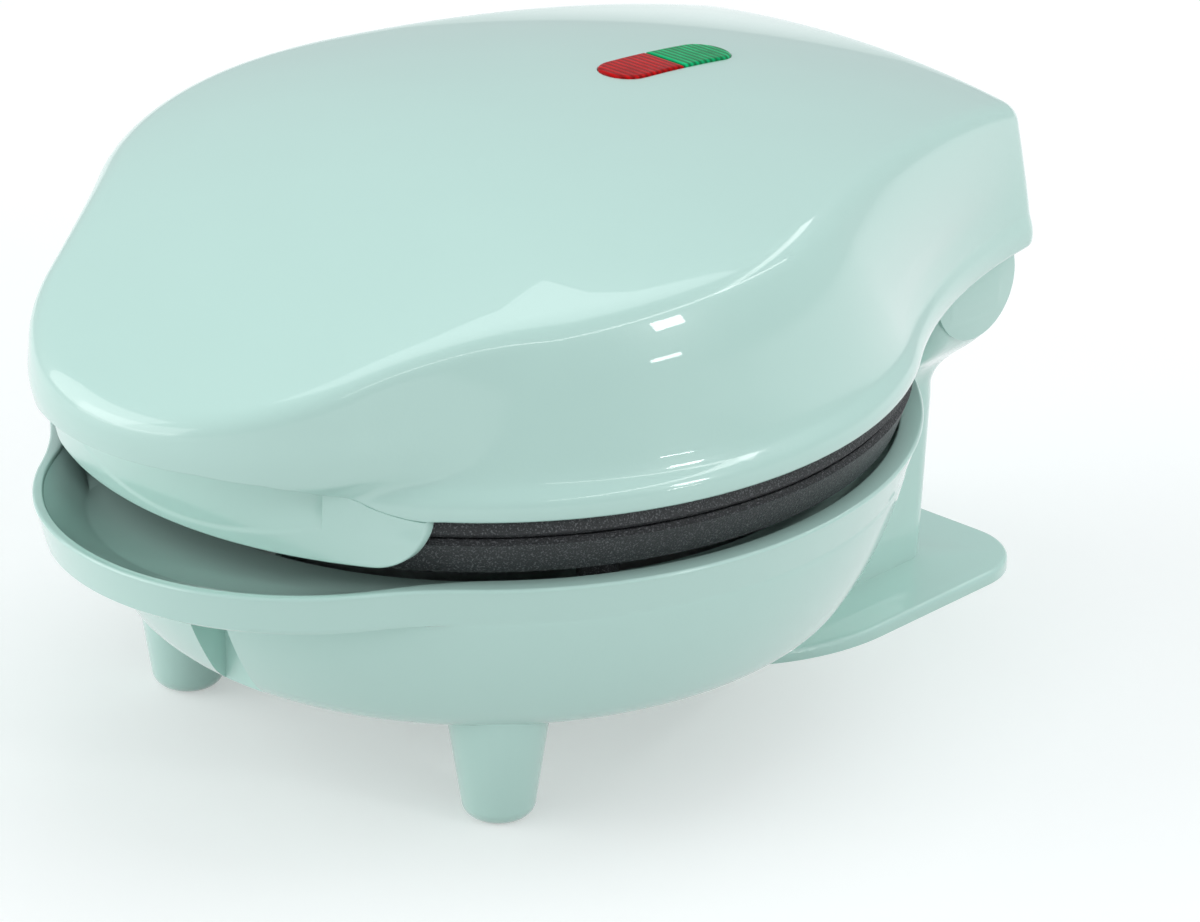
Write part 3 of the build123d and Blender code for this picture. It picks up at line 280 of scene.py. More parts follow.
def soft_light(name, place, aim, size, strength, colour=(1.0, 1.0, 1.0)):
    """A rectangular studio light at a place in metres, turned towards its aim."""
    data = bpy.data.lights.new(name, "AREA")
    data.shape = "RECTANGLE"
    data.size, data.size_y = size
    data.energy = strength
    data.color = colour
    light = bpy.data.objects.new(name, data)
    light.location = place
    direction = np.asarray(aim, float) - np.asarray(place, float)
    turn = math.atan2(-direction[0], direction[1])
    tilt = math.atan2(math.hypot(direction[0], direction[1]), -direction[2])
    light.rotation_euler = (tilt, 0, turn)
    bpy.context.scene.collection.objects.link(light)


def window_light(name, azimuth, elevation, width, height, radiance):
    """A bright pane, seen from the object by degrees right of the camera and above level."""
    heading = camera_turn - math.pi / 2 + math.radians(azimuth)
    rise = math.radians(elevation)
    place = np.array([math.cos(heading) * math.cos(rise), math.sin(heading) * math.cos(rise),
                      math.sin(rise)]) * window_distance
    size = [2 * window_distance * math.tan(math.radians(angle) / 2) for angle in (width, height)]
    soft_light(name, place, window_aim, size, radiance * math.pi * size[0] * size[1])


def either_ray(tree, first, second):
    """The larger of two outputs of the light path: one where a ray is of either kind."""
    path = tree.nodes.new("ShaderNodeLightPath")
    larger = tree.nodes.new("ShaderNodeMath")
    larger.operation = "MAXIMUM"
    tree.links.new(path.outputs[first], larger.inputs[0])
    tree.links.new(path.outputs[second], larger.inputs[1])
    return larger.outputs[0]


def studio_world():
    """White surroundings for the camera and reflections, and a soft even light otherwise."""
    world = bpy.data.worlds.new("studio")
    bpy.context.scene.world = world
    world.use_nodes = True
    nodes, links = world.node_tree.nodes, world.node_tree.links
    nodes.clear()
    seen = either_ray(world.node_tree, "Is Camera Ray", "Is Transmission Ray")
    mix = nodes.new("ShaderNodeMixShader")
    links.new(seen, mix.inputs[0])
    for place, (colour, strength) in enumerate(((world_colour, world_strength), (white, 1.0)), 1):
        light = nodes.new("ShaderNodeBackground")
        light.inputs["Color"].default_value = colour
        light.inputs["Strength"].default_value = strength
        links.new(light.outputs[0], mix.inputs[place])
    out = nodes.new("ShaderNodeOutputWorld")
    links.new(mix.outputs[0], out.inputs["Surface"])


def floor_material():
    """Pale floor: a lit part that keeps the shadow, lifted to white for the camera."""
    material, tree, add = node_material("studio_floor")
    links = tree.links
    lit = add("ShaderNodeBsdfDiffuse", Color=floor_colour)
    lift = add("ShaderNodeEmission", Color=white)
    amount = add("ShaderNodeMath", operation="MULTIPLY")
    amount.inputs[1].default_value = floor_lift
    both = add("ShaderNodeAddShader")
    out = add("ShaderNodeOutputMaterial")
    links.new(either_ray(tree, "Is Camera Ray", "Is Glossy Ray"), amount.inputs[0])
    links.new(amount.outputs[0], lift.inputs["Strength"])
    links.new(lit.outputs[0], both.inputs[0])
    links.new(lift.outputs[0], both.inputs[1])
    links.new(both.outputs[0], out.inputs["Surface"])
    return material


def studio_floor():
    """A wide plane on the table level."""
    reach = floor_reach
    mesh = bpy.data.meshes.new("studio_floor")
    corners = [(-reach, -reach, 0), (reach, -reach, 0), (reach, reach, 0), (-reach, reach, 0)]
    mesh.from_pydata(corners, [], [(0, 1, 2, 3)])
    mesh.materials.append(floor_material())
    floor = bpy.data.objects.new("studio_floor", mesh)
    bpy.context.scene.collection.objects.link(floor)


def node_material(name):
    """An empty node material and a helper that adds nodes to it."""
    material = bpy.data.materials.new(name)
    material.use_nodes = True
    tree = material.node_tree
    tree.nodes.clear()

    def add(kind, **values):
        node = tree.nodes.new(kind)
        for key, value in values.items():
            if hasattr(node, key):
                setattr(node, key, value)
            else:
                node.inputs[key.replace("_", " ")].default_value = value
        return node

    return material, tree, add


def surface(name, colour, roughness, *, metallic=0.0, coat=0.0, coat_roughness=0.03,
            mottle=0.03, mottle_scale=40.0, grain=0.02, grain_scale=2500.0, speck=None,
            speck_scale=3000.0, speck_share=0.62, speck_edge=0.1, transmission=0.0,
            roughness_spread=0.04):
    """Principled finish with cloudy colour, fine grain in bump and roughness, and specks."""
    material, tree, add = node_material(name)
    links = tree.links
    place = add("ShaderNodeTexCoord")
    shader = add("ShaderNodeBsdfPrincipled", Metallic=metallic, Coat_Weight=coat,
                 Coat_Roughness=coat_roughness, Transmission_Weight=transmission)
    out = add("ShaderNodeOutputMaterial")
    links.new(shader.outputs[0], out.inputs["Surface"])
    cloud = add("ShaderNodeTexNoise", Scale=mottle_scale, Detail=3.0, Roughness=0.55)
    links.new(place.outputs["Object"], cloud.inputs["Vector"])
    tint = add("ShaderNodeMix", data_type="RGBA")
    dark = [channel * (1 - mottle) for channel in colour]
    light = [min(1.0, channel * (1 + mottle)) for channel in colour]
    tint.inputs[mix_first].default_value = (*dark, 1.0)
    tint.inputs[mix_second].default_value = (*light, 1.0)
    links.new(cloud.outputs["Fac"], tint.inputs[0])
    base = tint.outputs[mix_result]
    fine = add("ShaderNodeTexNoise", Scale=grain_scale, Detail=2.0, Roughness=0.6)
    links.new(place.outputs["Object"], fine.inputs["Vector"])
    if speck is not None:
        spots = add("ShaderNodeTexNoise", Scale=speck_scale, Detail=1.0, Roughness=0.5)
        links.new(place.outputs["Object"], spots.inputs["Vector"])
        keep = add("ShaderNodeMapRange", From_Min=speck_share, From_Max=speck_share + speck_edge)
        links.new(spots.outputs["Fac"], keep.inputs["Value"])
        mix = add("ShaderNodeMix", data_type="RGBA")
        mix.inputs[mix_second].default_value = (*speck, 1.0)
        links.new(keep.outputs["Result"], mix.inputs[0])
        links.new(base, mix.inputs[mix_first])
        base = mix.outputs[mix_result]
    links.new(base, shader.inputs["Base Color"])
    rough = add("ShaderNodeMapRange", To_Min=max(0.0, roughness - roughness_spread),
                To_Max=roughness + roughness_spread)
    links.new(cloud.outputs["Fac"], rough.inputs["Value"])
    links.new(rough.outputs["Result"], shader.inputs["Roughness"])
    bump = add("ShaderNodeBump", Strength=grain, Distance=bump_distance)
    links.new(fine.outputs["Fac"], bump.inputs["Height"])
    links.new(bump.outputs["Normal"], shader.inputs["Normal"])
    return material


def lens_with_painted_rib_highlights(name, deep, bright):
    """Clear coloured plastic over a ribbed tray: fine cross ribs, with painted highlights at their
    crests.
    """
    material, tree, add = node_material(name)
    links = tree.links
    place = add("ShaderNodeTexCoord")
    ribs = add("ShaderNodeTexWave", bands_direction="Y", Scale=240.0, Distortion=0.6, Detail=1.0,
               Detail_Scale=400.0)
    links.new(place.outputs["Object"], ribs.inputs["Vector"])
    cloud = add("ShaderNodeTexNoise", Scale=330.0, Detail=2.0)
    links.new(place.outputs["Object"], cloud.inputs["Vector"])
    both = add("ShaderNodeMath", operation="MULTIPLY")
    links.new(ribs.outputs["Fac"], both.inputs[0])
    links.new(cloud.outputs["Fac"], both.inputs[1])
    # Painted highlight: the base colour runs from deep to bright with the ribs times a cloud, so
    # the rib crests look lit in the colour itself
    tint = add("ShaderNodeMix", data_type="RGBA")
    tint.inputs[mix_first].default_value = (*deep, 1.0)
    tint.inputs[mix_second].default_value = (*bright, 1.0)
    links.new(both.outputs[0], tint.inputs[0])
    shader = add("ShaderNodeBsdfPrincipled", Roughness=0.4, Specular_IOR_Level=0.05,
                 Coat_Weight=0.3, Coat_Roughness=0.02, Coat_IOR=1.3)
    bump = add("ShaderNodeBump", Strength=0.2, Distance=bump_distance)
    links.new(ribs.outputs["Fac"], bump.inputs["Height"])
    links.new(bump.outputs["Normal"], shader.inputs["Normal"])
    links.new(tint.outputs[mix_result], shader.inputs["Base Color"])
    out = add("ShaderNodeOutputMaterial")
    links.new(shader.outputs[0], out.inputs["Surface"])
    return material


mint_colour = (0.54, 0.785, 0.715)
finishes = {
    "mint_plastic": surface("mint_plastic", mint_colour, 0.34, coat=1.0, coat_roughness=0.015,
                            mottle=0.012, grain=0.03, grain_scale=1400.0),
    "plate_coating": surface("plate_coating", (0.017, 0.019, 0.021), 0.45, mottle=0.15,
                             grain=0.6, grain_scale=2600.0, speck=(0.11, 0.115, 0.12),
                             speck_scale=3600.0, speck_share=0.56, mottle_scale=160.0),
    "lead_insulation": surface("lead_insulation", (0.62, 0.6, 0.55), 0.85, mottle=0.1,
                               mottle_scale=900.0, grain=0.5, grain_scale=2200.0),
    "screw_steel": surface("screw_steel", (0.55, 0.55, 0.56), 0.32, metallic=1.0, mottle=0.06,
                           grain=0.15, grain_scale=1800.0),
    "element_sheath": surface("element_sheath", (0.5, 0.5, 0.51), 0.38, metallic=1.0,
                              mottle=0.1, grain=0.2),
    "bright_steel": surface("bright_steel", (0.62, 0.62, 0.63), 0.25, metallic=1.0, mottle=0.05,
                            grain=0.12),
    "pan_aluminium": surface("pan_aluminium", (0.7, 0.7, 0.71), 0.3, metallic=1.0, mottle=0.06,
                             grain=0.12),
    "thermostat_body": surface("thermostat_body", (0.74, 0.72, 0.64), 0.6, mottle=0.06,
                               grain=0.2),
    "terminal_plastic": surface("terminal_plastic", (0.75, 0.75, 0.72), 0.5, mottle=0.04,
                                grain=0.15),
    "fuse_sleeve": surface("fuse_sleeve", (0.72, 0.7, 0.6), 0.8, mottle=0.1, grain=0.5),
    "gland_rubber": surface("gland_rubber", (0.36, 0.56, 0.52), 0.6, mottle=0.05, grain=0.3),
    # Lenses: a deep tone and the brighter tone painted on the rib crests as a highlight
    "red_lens": lens_with_painted_rib_highlights("red_lens", (0.26, 0.0, 0.0), (0.9, 0.0, 0.002)),
    "green_lens": lens_with_painted_rib_highlights("green_lens", (0.0, 0.17, 0.05), (0.0, 0.8, 0.3)),
    "lamp_glass": surface("lamp_glass", (0.85, 0.8, 0.7), 0.1, mottle=0.02, grain=0.02,
                          transmission=0.8),
    "holder_plastic": surface("holder_plastic", (0.8, 0.8, 0.77), 0.5, mottle=0.03, grain=0.15),
}


def mesh_piece(name, points, faces, body, slot, weld=False):
    """A piece from points in millimetres about the plate axis, its faces turned outwards."""
    points = to_frame(points)
    faces = np.asarray(faces, np.int64)
    a, b, c = (points[faces[:, k]] for k in range(3))
    d = points[faces[:, 3]] if faces.shape[1] == 4 else c
    volume = (np.cross(a, b) * c).sum() + (np.cross(a, c) * d).sum()
    if volume < 0:
        faces = faces[:, ::-1]
    mesh = bpy.data.meshes.new(name)
    cells = [tuple(dict.fromkeys(cell)) for cell in faces.tolist()]
    mesh.from_pydata(points.tolist(), [], [cell for cell in cells if len(cell) > 2])
    if weld:
        work = bmesh.new()
        work.from_mesh(mesh)
        bmesh.ops.remove_doubles(work, verts=work.verts, dist=weld_distance)
        work.to_mesh(mesh)
        work.free()
    return piece_from_mesh(name, mesh, body, slot)


def smoothed(mesh):
    """Shades a mesh smooth except at its sharp edges."""
    mesh.shade_smooth()
    mesh.set_sharp_from_angle(angle=math.radians(sharp_angle))


def piece_from_mesh(name, mesh, body, slot):
    """Links a mesh as a piece that rides on a body."""
    mesh.materials.clear()
    mesh.materials.append(finishes[slot])
    smoothed(mesh)
    piece = bpy.data.objects.new(name, mesh)
    bpy.context.scene.collection.objects.link(piece)
    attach(piece, body)
    return piece


def ring_faces(rows, columns):
    """Quads between the rows of a grid whose columns run round and meet."""
    row, column = np.meshgrid(np.arange(rows - 1), np.arange(columns), indexing="ij")
    after = (column + 1) % columns
    quads = np.stack([row * columns + column, row * columns + after,
                      (row + 1) * columns + after, (row + 1) * columns + column], -1)
    return quads.reshape(-1, 4)


def closed_rings(rings):
    """Points and faces of a solid from rings of equal count, with a pole at each end."""
    rows, columns = rings.shape[:2]
    points = rings.reshape(-1, 3)
    first = points[:columns].mean(0)
    last = points[-columns:].mean(0)
    points = np.vstack([points, first, last])
    column = np.arange(columns)
    after = (column + 1) % columns
    start = (rows - 1) * columns
    top = np.stack([np.full(columns, rows * columns), after, column, column], -1)
    low = np.stack([np.full(columns, rows * columns + 1), start + column, start + after,
                    start + after], -1)
    return points, np.vstack([ring_faces(rows, columns), top, low])


def cut(piece, operation, *others):
    """Joins to, cuts from or keeps with the piece the given objects, which then go."""
    for other in others:
        modifier = piece.modifiers.new(operation.lower(), "BOOLEAN")
        modifier.operation = operation
        modifier.solver = "EXACT"
        modifier.object = other
    scene = bpy.context.evaluated_depsgraph_get()
    made = bpy.data.meshes.new_from_object(piece.evaluated_get(scene))
    piece.modifiers.clear()
    piece.data = made
    smoothed(made)
    for other in others:
        bpy.data.objects.remove(other)
    return piece


def cutter(name, points, faces):
    """A loose solid used to cut a piece, in millimetres about the plate axis."""
    mesh = bpy.data.meshes.new(name)
    mesh.from_pydata(to_frame(points).tolist(), [], [tuple(face) for face in faces])
    solid = bpy.data.objects.new(name, mesh)
    bpy.context.scene.collection.objects.link(solid)
    return solid


def outward(solid):
    """Turns the faces of a loose solid outwards, by the sign of its volume."""
    faces = solid.data.polygons
    if sum(face.area * face.center.dot(face.normal) for face in faces) < 0:
        solid.data.flip_normals()
    return solid


def prism(name, outline, axis, low, high):
    """A cutter: a closed outline in the plane across the axis, drawn from low to high."""
    outline = np.asarray(outline, float)
    count = len(outline)
    points = np.vstack([np.insert(outline, axis, value, axis=1) for value in (low, high)])
    sides = [(k, (k + 1) % count, count + (k + 1) % count, count + k) for k in range(count)]
    caps = [tuple(range(count))[::-1], tuple(range(count, 2 * count))]
    return outward(cutter(name, points, sides + caps))


def quarter(steps):
    """Even angles over a quarter turn."""
    return np.linspace(0, math.pi / 2, steps)


def rounded_box_outline(half_width, low, high, corner, steps=8):
    """A rectangle with round corners: four quarter circles joined by straight sides."""
    quarters = []
    for k, (x, z) in enumerate(((1, 1), (-1, 1), (-1, -1), (1, -1))):
        centre = (x * (half_width - corner), high - corner if z > 0 else low + corner)
        angle = quarter(steps) + k * math.pi / 2
        quarters.append(np.column_stack([centre[0] + corner * np.cos(angle),
                                         centre[1] + corner * np.sin(angle)]))
    return np.vstack(quarters)


def eased(x, knots, values):
    """Cubic pieces through the knots, each with the mean slope of its two sides."""
    knots = np.asarray(knots, float)
    values = np.asarray(values, float)
    slopes = np.gradient(values, knots)
    x = np.clip(x, knots[0], knots[-1])
    k = np.clip(np.searchsorted(knots, x) - 1, 0, len(knots) - 2)
    span = knots[k + 1] - knots[k]
    t = (x - knots[k]) / span
    start = (1 + 2 * t) * (1 - t) ** 2 * values[k] + t * (1 - t) ** 2 * span * slopes[k]
    end = t * t * (3 - 2 * t) * values[k + 1] + t * t * (t - 1) * span * slopes[k + 1]
    return start + end


def smooth_step(x):
    """Zero below 0, one above 1 and the cubic 3x^2 - 2x^3 between."""
    x = np.clip(x, 0, 1)
    return x * x * (3 - 2 * x)


def meeting(first, first_radius, second, second_radius, side):
    """Where two circles meet, left or right of the line between their centres."""
    forward = (second - first) / np.linalg.norm(second - first)
    span = np.linalg.norm(second - first)
    along = (span**2 + first_radius**2 - second_radius**2) / (2 * span)
    across = math.sqrt(max(first_radius**2 - along**2, 0.0))
    return first + forward * along + np.array([-forward[1], forward[0]]) * across * side


def towards(start, end, distance):
    """The point at a distance from start on the way to end."""
    return start + (end - start) / np.linalg.norm(end - start) * distance


def arc(start, end, centre, count):
    """Points at even angles on the shorter arc about a centre."""
    first = math.atan2(start[1] - centre[1], start[0] - centre[0])
    last = math.atan2(end[1] - centre[1], end[0] - centre[0])
    sweep = (last - first + math.pi) % (2 * math.pi) - math.pi
    angle = first + sweep * np.linspace(0, 1, count)
    radius = math.dist(start, centre)
    return np.column_stack([centre[0] + radius * np.cos(angle),
                            centre[1] + radius * np.sin(angle)])


def both_sides(half):
    """A closed ring from its right half, which runs from front to rear at x = 0."""
    left = half[-2:0:-1] * np.array([-1.0, 1.0])
    return np.vstack([half, left])


def arcs_ring(ends, counts):
    """A closed plan from the arcs of its right half, each given by start, end and centre."""
    half = [arc(*places, count) for places, count in zip(ends, counts)]
    return both_sides(np.vstack([half[0]] + [part[1:] for part in half[1:]]))


def lobe_arcs(main, lobe, lobe_size, hollow):
    """The arcs of a front lobe and of the hollow that joins it to a round about the middle."""
    middle = np.zeros(2)
    neck = meeting(middle, main + hollow, lobe, lobe_size + hollow, 1)
    on_lobe = towards(lobe, neck, lobe_size)
    on_main = towards(middle, neck, main)
    return (lobe - np.array([0, lobe_size]), on_lobe, lobe), (on_lobe, on_main, neck)


def lid_plan(height, inset):
    """Plan of the lid at one level: lobe, hollow, round, rear hollow, corner and bow arcs."""
    main = eased(height, lid_heights, lid_main) - inset
    lobe_size = eased(height, lid_heights, lid_lobe) - inset
    hollow = eased(height, lid_heights, lid_hollow) + inset
    half_width = eased(height, lid_heights, lid_half_width) - inset
    rear = eased(height, lid_heights, lid_rear) - inset
    rear_hollow = eased(height, lid_heights, lid_rear_hollow) + inset
    corner = max(lid_corner - inset, 1.0)
    lobe = np.array([0.0, -eased(height, lid_heights, lid_lobe_offset)])
    middle = np.zeros(2)
    turn = np.array([half_width - corner, rear - corner])
    drop = turn[1] - rear - lid_bow
    bow_radius = (turn[0] ** 2 + drop**2 - corner**2) / (2 * lid_bow)
    bow = np.array([0.0, rear + lid_bow - bow_radius])
    on_bow = towards(bow, turn, bow_radius)
    side = meeting(middle, main + rear_hollow, turn, corner + rear_hollow, -1)
    on_corner = towards(turn, side, corner)
    on_side = towards(middle, side, main)
    front, neck = lobe_arcs(main, lobe, lobe_size, hollow)
    ends = (front, neck, (neck[1], on_side, middle), (on_side, on_corner, side),
            (on_corner, on_bow, turn), (on_bow, np.array([0.0, rear + lid_bow]), bow))
    return arcs_ring(ends, lid_arc_points)


plan_heights = np.arange(plan_low, plan_high, plan_step)
outer_plans = np.stack([lid_plan(height, 0.0) for height in plan_heights])
inner_plans = np.stack([lid_plan(height, lid_wall) for height in plan_heights])


def lid_point(height, inset):
    """Points of the lid's wall at a height for each column, moved inwards by the inset."""
    last_step = len(plan_heights) - 1.001  # just short of the last plan
    place = np.clip((height - plan_low) / plan_step, 0, last_step)
    low = place.astype(int)
    share = (place - low)[:, None]
    column = np.arange(outer_plans.shape[1])
    outer = outer_plans[low, column] * (1 - share) + outer_plans[low + 1, column] * share
    inner = inner_plans[low, column] * (1 - share) + inner_plans[low + 1, column] * share
    plan = outer + (inner - outer) * (np.broadcast_to(inset, height.shape)[:, None] / lid_wall)
    return np.column_stack([plan, height])


def crown(x, y):
    """Height of the crowned top: a front and a rear arc, turned about an axis along y."""
    along = y - crown_y
    radius = np.where(along < 0, crown_front_radius, crown_rear_radius)
    profile = crown_top - (radius - np.sqrt(radius**2 - along**2))
    axis = crown_top - crown_cross_radius
    return axis + np.sqrt((profile - axis) ** 2 - x**2)


def settled(start, rounds, share, inset, aim):
    """Height of each column on the wall, moved again and again by a share towards its aim."""
    height = np.full(outer_plans.shape[1], start)
    for _ in range(rounds):
        place = lid_point(height, inset)
        height = height + share * (aim(place[:, 0], place[:, 1]) - height)
    return height


def meeting_height(inset, lower):
    """Height at which the wall, moved in, meets the crown, moved down, at each column."""
    return settled(start=85.0, rounds=60, share=0.7, inset=inset,
                   aim=lambda x, y: crown(x, y) - lower)


def handle_edge(x):
    """Height of the lower edge of the handle at a distance from the middle."""
    return np.interp(np.abs(x), handle_edge_x, handle_edge_z)


def lid_low_edge():
    """Height of the lid's lower edge at each column: the handle's edge in front."""
    return settled(start=62.0, rounds=120, share=0.3, inset=0.0,
                   aim=lambda x, y: np.where(y < 0, handle_edge(x), lid_heights[0]))


def crown_rings(edge, lower, count):
    """Rings from an edge on the crown to where they gather, each the last one drawn in."""
    centre = np.array(crown_gather)
    rings = []
    for share in np.linspace(1, 0, count + 1)[1:-1]:
        plan = centre + (edge[:, :2] - centre) * share
        rings.append(np.column_stack([plan, crown(plan[:, 0], plan[:, 1]) - lower]))
    return rings


def lid_rings():
    """Rings of the lid: inner ceiling, inner wall, lip, outer wall, ridge and crown."""
    low = lid_low_edge()
    edge = lid_point(low, 0.0)
    beside = smooth_step((np.abs(edge[:, 0]) - guard_half_width + lip_fade_lead) / lip_fade_width)
    beside = np.where(edge[:, 1] < 0, beside, 1.0)
    lip = handle_lip_round + (lid_lip_round - handle_lip_round) * beside
    ridge = meeting_height(0.0, 0.0)
    inner_ridge = meeting_height(lid_wall, lid_wall)
    inner_top = lid_point(inner_ridge, lid_wall)
    rings = crown_rings(inner_top, lid_wall, ceiling_rings)[::-1] + [inner_top]
    for share in np.linspace(1, 0, inner_wall_rings)[1:-1]:
        height = low + lip + (inner_ridge - low - lip) * share
        rings.append(lid_point(height, lid_wall))
    for angle in quarter(inner_lip_steps):
        inset = lid_wall - lip * (1 - math.cos(angle))
        rings.append(lid_point(low + lip * (1 - math.sin(angle)), inset))
    for angle in quarter(edge_steps)[::-1]:
        inset = lip * (1 - math.cos(angle))
        rings.append(lid_point(low + lip * (1 - math.sin(angle)), inset))
    top = ridge - ridge_down
    shares = np.concatenate([np.linspace(0, dense_share, dense_wall_rings)[1:],
                             np.linspace(dense_share, 1, wall_rings)[1:]])
    for share in shares:
        rings.append(lid_point(low + lip + (top - low - lip) * share, 0.0))
    start, bend = rings[-1], lid_point(ridge, 0.0)
    end = lid_point(ridge, ridge_in)
    end[:, 2] = crown(end[:, 0], end[:, 1])
    for t in np.linspace(0, 1, ridge_rings)[1:]:
        rings.append(start * (1 - t) ** 2 + bend * 2 * t * (1 - t) + end * t * t)
    return np.stack(rings + crown_rings(end, 0.0, crown_ring_count))


def stadium(half_length, half_width, steps=14):
    """Slot with round ends along y: two half circles."""
    angle = np.linspace(0, math.pi, steps)
    reach = half_length - half_width
    rear = np.column_stack([half_width * np.cos(angle), reach + half_width * np.sin(angle)])
    return np.vstack([rear, -rear]) + np.array([0.0, lens_y])


def lid_shell():
    """The lid's moulding, with the arch over the hinge and the window for the lights."""
    points, faces = closed_rings(lid_rings())
    lid = mesh_piece("lid_shell", points, faces, "lid", "mint_plastic")
    arch = rounded_box_outline(arch_half_width, arch_height - arch_cut_drop, arch_height,
                               arch_corner)
    window = stadium(lens_length / 2, lens_width / 2)
    cut(lid, "DIFFERENCE", prism("arch_cutter", arch, 1, arch_front, arch_front + arch_cut_length),
        prism("window_cutter", window, 2, *window_cut))
    return lid


def lobed_plan(main, lobe_size, hollow):
    """Plan of the rim: a circle with a front lobe, joined by hollow arcs."""
    front, neck = lobe_arcs(main, np.array([0.0, -rim_lobe_offset]), lobe_size, hollow)
    back = (neck[1], np.array([0.0, main]), np.zeros(2))
    return arcs_ring((front, neck, back), rim_arc_points)


def tangent_arc(start, end, direction, count):
    """Points on the arc from start to end that leaves start in a direction."""
    start, end = np.asarray(start, float), np.asarray(end, float)
    across = np.array([-direction[1], direction[0]]) / np.hypot(*direction)
    chord = end - start
    radius = chord @ chord / (2 * (chord @ across))
    centre = start + across * radius
    points = arc(start, end, centre, count)
    leave = np.array([-(end - centre)[1], (end - centre)[0]]) * np.sign(radius)
    return points, leave


def bowl_profile(inset):
    """Half section of the bowl: floor, round corner and bulging side, as radius and height."""
    floor_end = (bowl_floor_radius, bowl_floor + inset)
    corner_end = bowl_corner_end + bowl_corner_inward * inset
    top_end = (bowl_side_end[0] - inset, bowl_side_end[1] - (bowl_side_drop if inset == 0 else 0))
    corner, leave = tangent_arc(floor_end, corner_end, (1, 0), bowl_corner_rings)
    side, _ = tangent_arc(corner_end, top_end, leave, bowl_side_rings)
    radii = np.linspace(bowl_pole_radius, bowl_floor_radius, bowl_floor_rings)[:-1]
    floor = np.column_stack([radii, np.full_like(radii, bowl_floor + inset)])
    return np.vstack([floor, corner, side[1:]])


def base_rings():
    """Rings of the base: bowl outside, rim, dish, opening and bowl inside."""
    low_plan = lobed_plan(rim_low_radius, rim_low_lobe, rim_hollow)
    high_plan = lobed_plan(rim_radius, rim_lobe, rim_hollow)
    ledge_plan = lobed_plan(ledge_radius, rim_lobe - dish_rim, rim_hollow)
    dish_plan = lobed_plan(dish_radius, rim_lobe - dish_slope, rim_hollow)
    direction = high_plan / np.linalg.norm(high_plan, axis=1)[:, None]

    def ring(plan, height):
        return np.column_stack([plan, np.full(len(plan), height)])

    def between(first, last, share):
        return first + (last - first) * share

    def drawn_in(plan, inset):
        return plan - direction * inset

    rings = [ring(direction * radius, height) for radius, height in bowl_profile(0.0)]
    side = direction * bowl_side_end[0]
    for share in rim_under_shares:
        rings.append(ring(between(side, low_plan, share),
                          rim_underside - bowl_side_drop * (1 - share)))
    for share in rim_face_shares:
        height = rim_underside + (rim_height - rim_underside) * share
        rings.append(ring(between(low_plan, high_plan, share), height))
    for angle in quarter(edge_steps):
        rings.append(ring(drawn_in(high_plan, rim_round * (1 - math.cos(angle))),
                          rim_height - rim_round * (1 - math.sin(angle))))
    for angle in quarter(edge_steps):
        rings.append(ring(drawn_in(ledge_plan, -rim_round * (1 - math.sin(angle))),
                          rim_height - rim_round * (1 - math.cos(angle))))
    for share in np.linspace(0, 1, dish_slope_rings)[1:]:
        height = between(rim_height - rim_round, dish_floor, share)
        rings.append(ring(between(ledge_plan, dish_plan, share),
                          height - dish_sag * math.sin(math.pi * share)))
    opening = direction * stack_opening
    for share in dish_floor_shares:
        rings.append(ring(between(dish_plan, opening, share), dish_floor))
    ceiling = dish_floor - bowl_wall
    rings.append(ring(opening, ceiling))
    inner = bowl_profile(bowl_wall)[::-1]
    rings.append(ring(direction * inner[0][0], ceiling))
    rings += [ring(direction * radius, height) for radius, height in inner]
    return np.stack(rings)


def wheel(columns):
    """Points at even angles on a circle of radius one."""
    angle = np.linspace(0, 2 * math.pi, columns, endpoint=False)
    return np.stack([np.cos(angle), np.sin(angle)], -1)


def turned_solid(profile, columns, axis=2):
    """Points and faces of radius and height pairs carried round an axis through the middle."""
    rings = [np.insert(wheel(columns) * radius, axis, height, axis=1)
             for radius, height in profile]
    return closed_rings(np.stack(rings))


def rectangle(left, right, front, back):
    """Corners of a rectangle in plan."""
    return [(left, front), (right, front), (right, back), (left, back)]


def base_shell():
    """Bowl, rim and front lobe, with a walled notch under the lobe."""
    points, faces = closed_rings(base_rings())
    base = mesh_piece("base_shell", points, faces, "base", "mint_plastic")
    left, right = notch_x - notch_half_width, notch_x + notch_half_width
    outer = rectangle(left - bowl_wall, right + bowl_wall, notch_front, notch_back + bowl_wall)
    pocket = prism("pocket", outer, 2, *notch_block)
    filled = np.vstack([bowl_profile(bowl_wall / 2), [(bowl_side_end[0] - 1, dish_floor - 1)]])
    points, faces = turned_solid(filled, bowl_columns)
    whole = cutter("bowl_inside", points, [tuple(dict.fromkeys(face)) for face in faces.tolist()])
    cut(pocket, "INTERSECT", outward(whole))
    cut(base, "UNION", pocket)
    for place in plate_screw_places:
        disc = wheel(boss_columns) * plate_boss_radius + place
        cut(base, "UNION",
            prism("boss", disc, 2, dish_floor - bowl_wall - boss_root, plate_boss_top))
    inner = rectangle(left, right, notch_front, notch_back)
    cut(base, "DIFFERENCE", prism("notch_cutter", inner, 2, *notch_cut))
    return base


def turned(name, profile, centre, body, slot, columns, axis=2):
    """A solid of revolution from radius and height pairs about an axis through its centre."""
    points, faces = turned_solid(profile, columns, axis)
    return mesh_piece(name, points + np.asarray(centre, float), faces, body, slot)


def front_leg(name, x):
    """A tapered front leg with a round foot."""
    angle = quarter(leg_steps)
    foot = np.column_stack([leg_foot_radius - leg_round * (1 - np.sin(angle)),
                            leg_round * (1 - np.cos(angle))])
    heights = np.linspace(leg_round, leg_top, leg_rings)[1:]
    side = np.column_stack([leg_foot_radius + leg_taper * (heights - leg_round), heights])
    return turned(name, np.vstack([(1, 0), foot, side, (1, leg_top)]), (x, leg_y, 0), "base",
                  "mint_plastic", leg_columns)


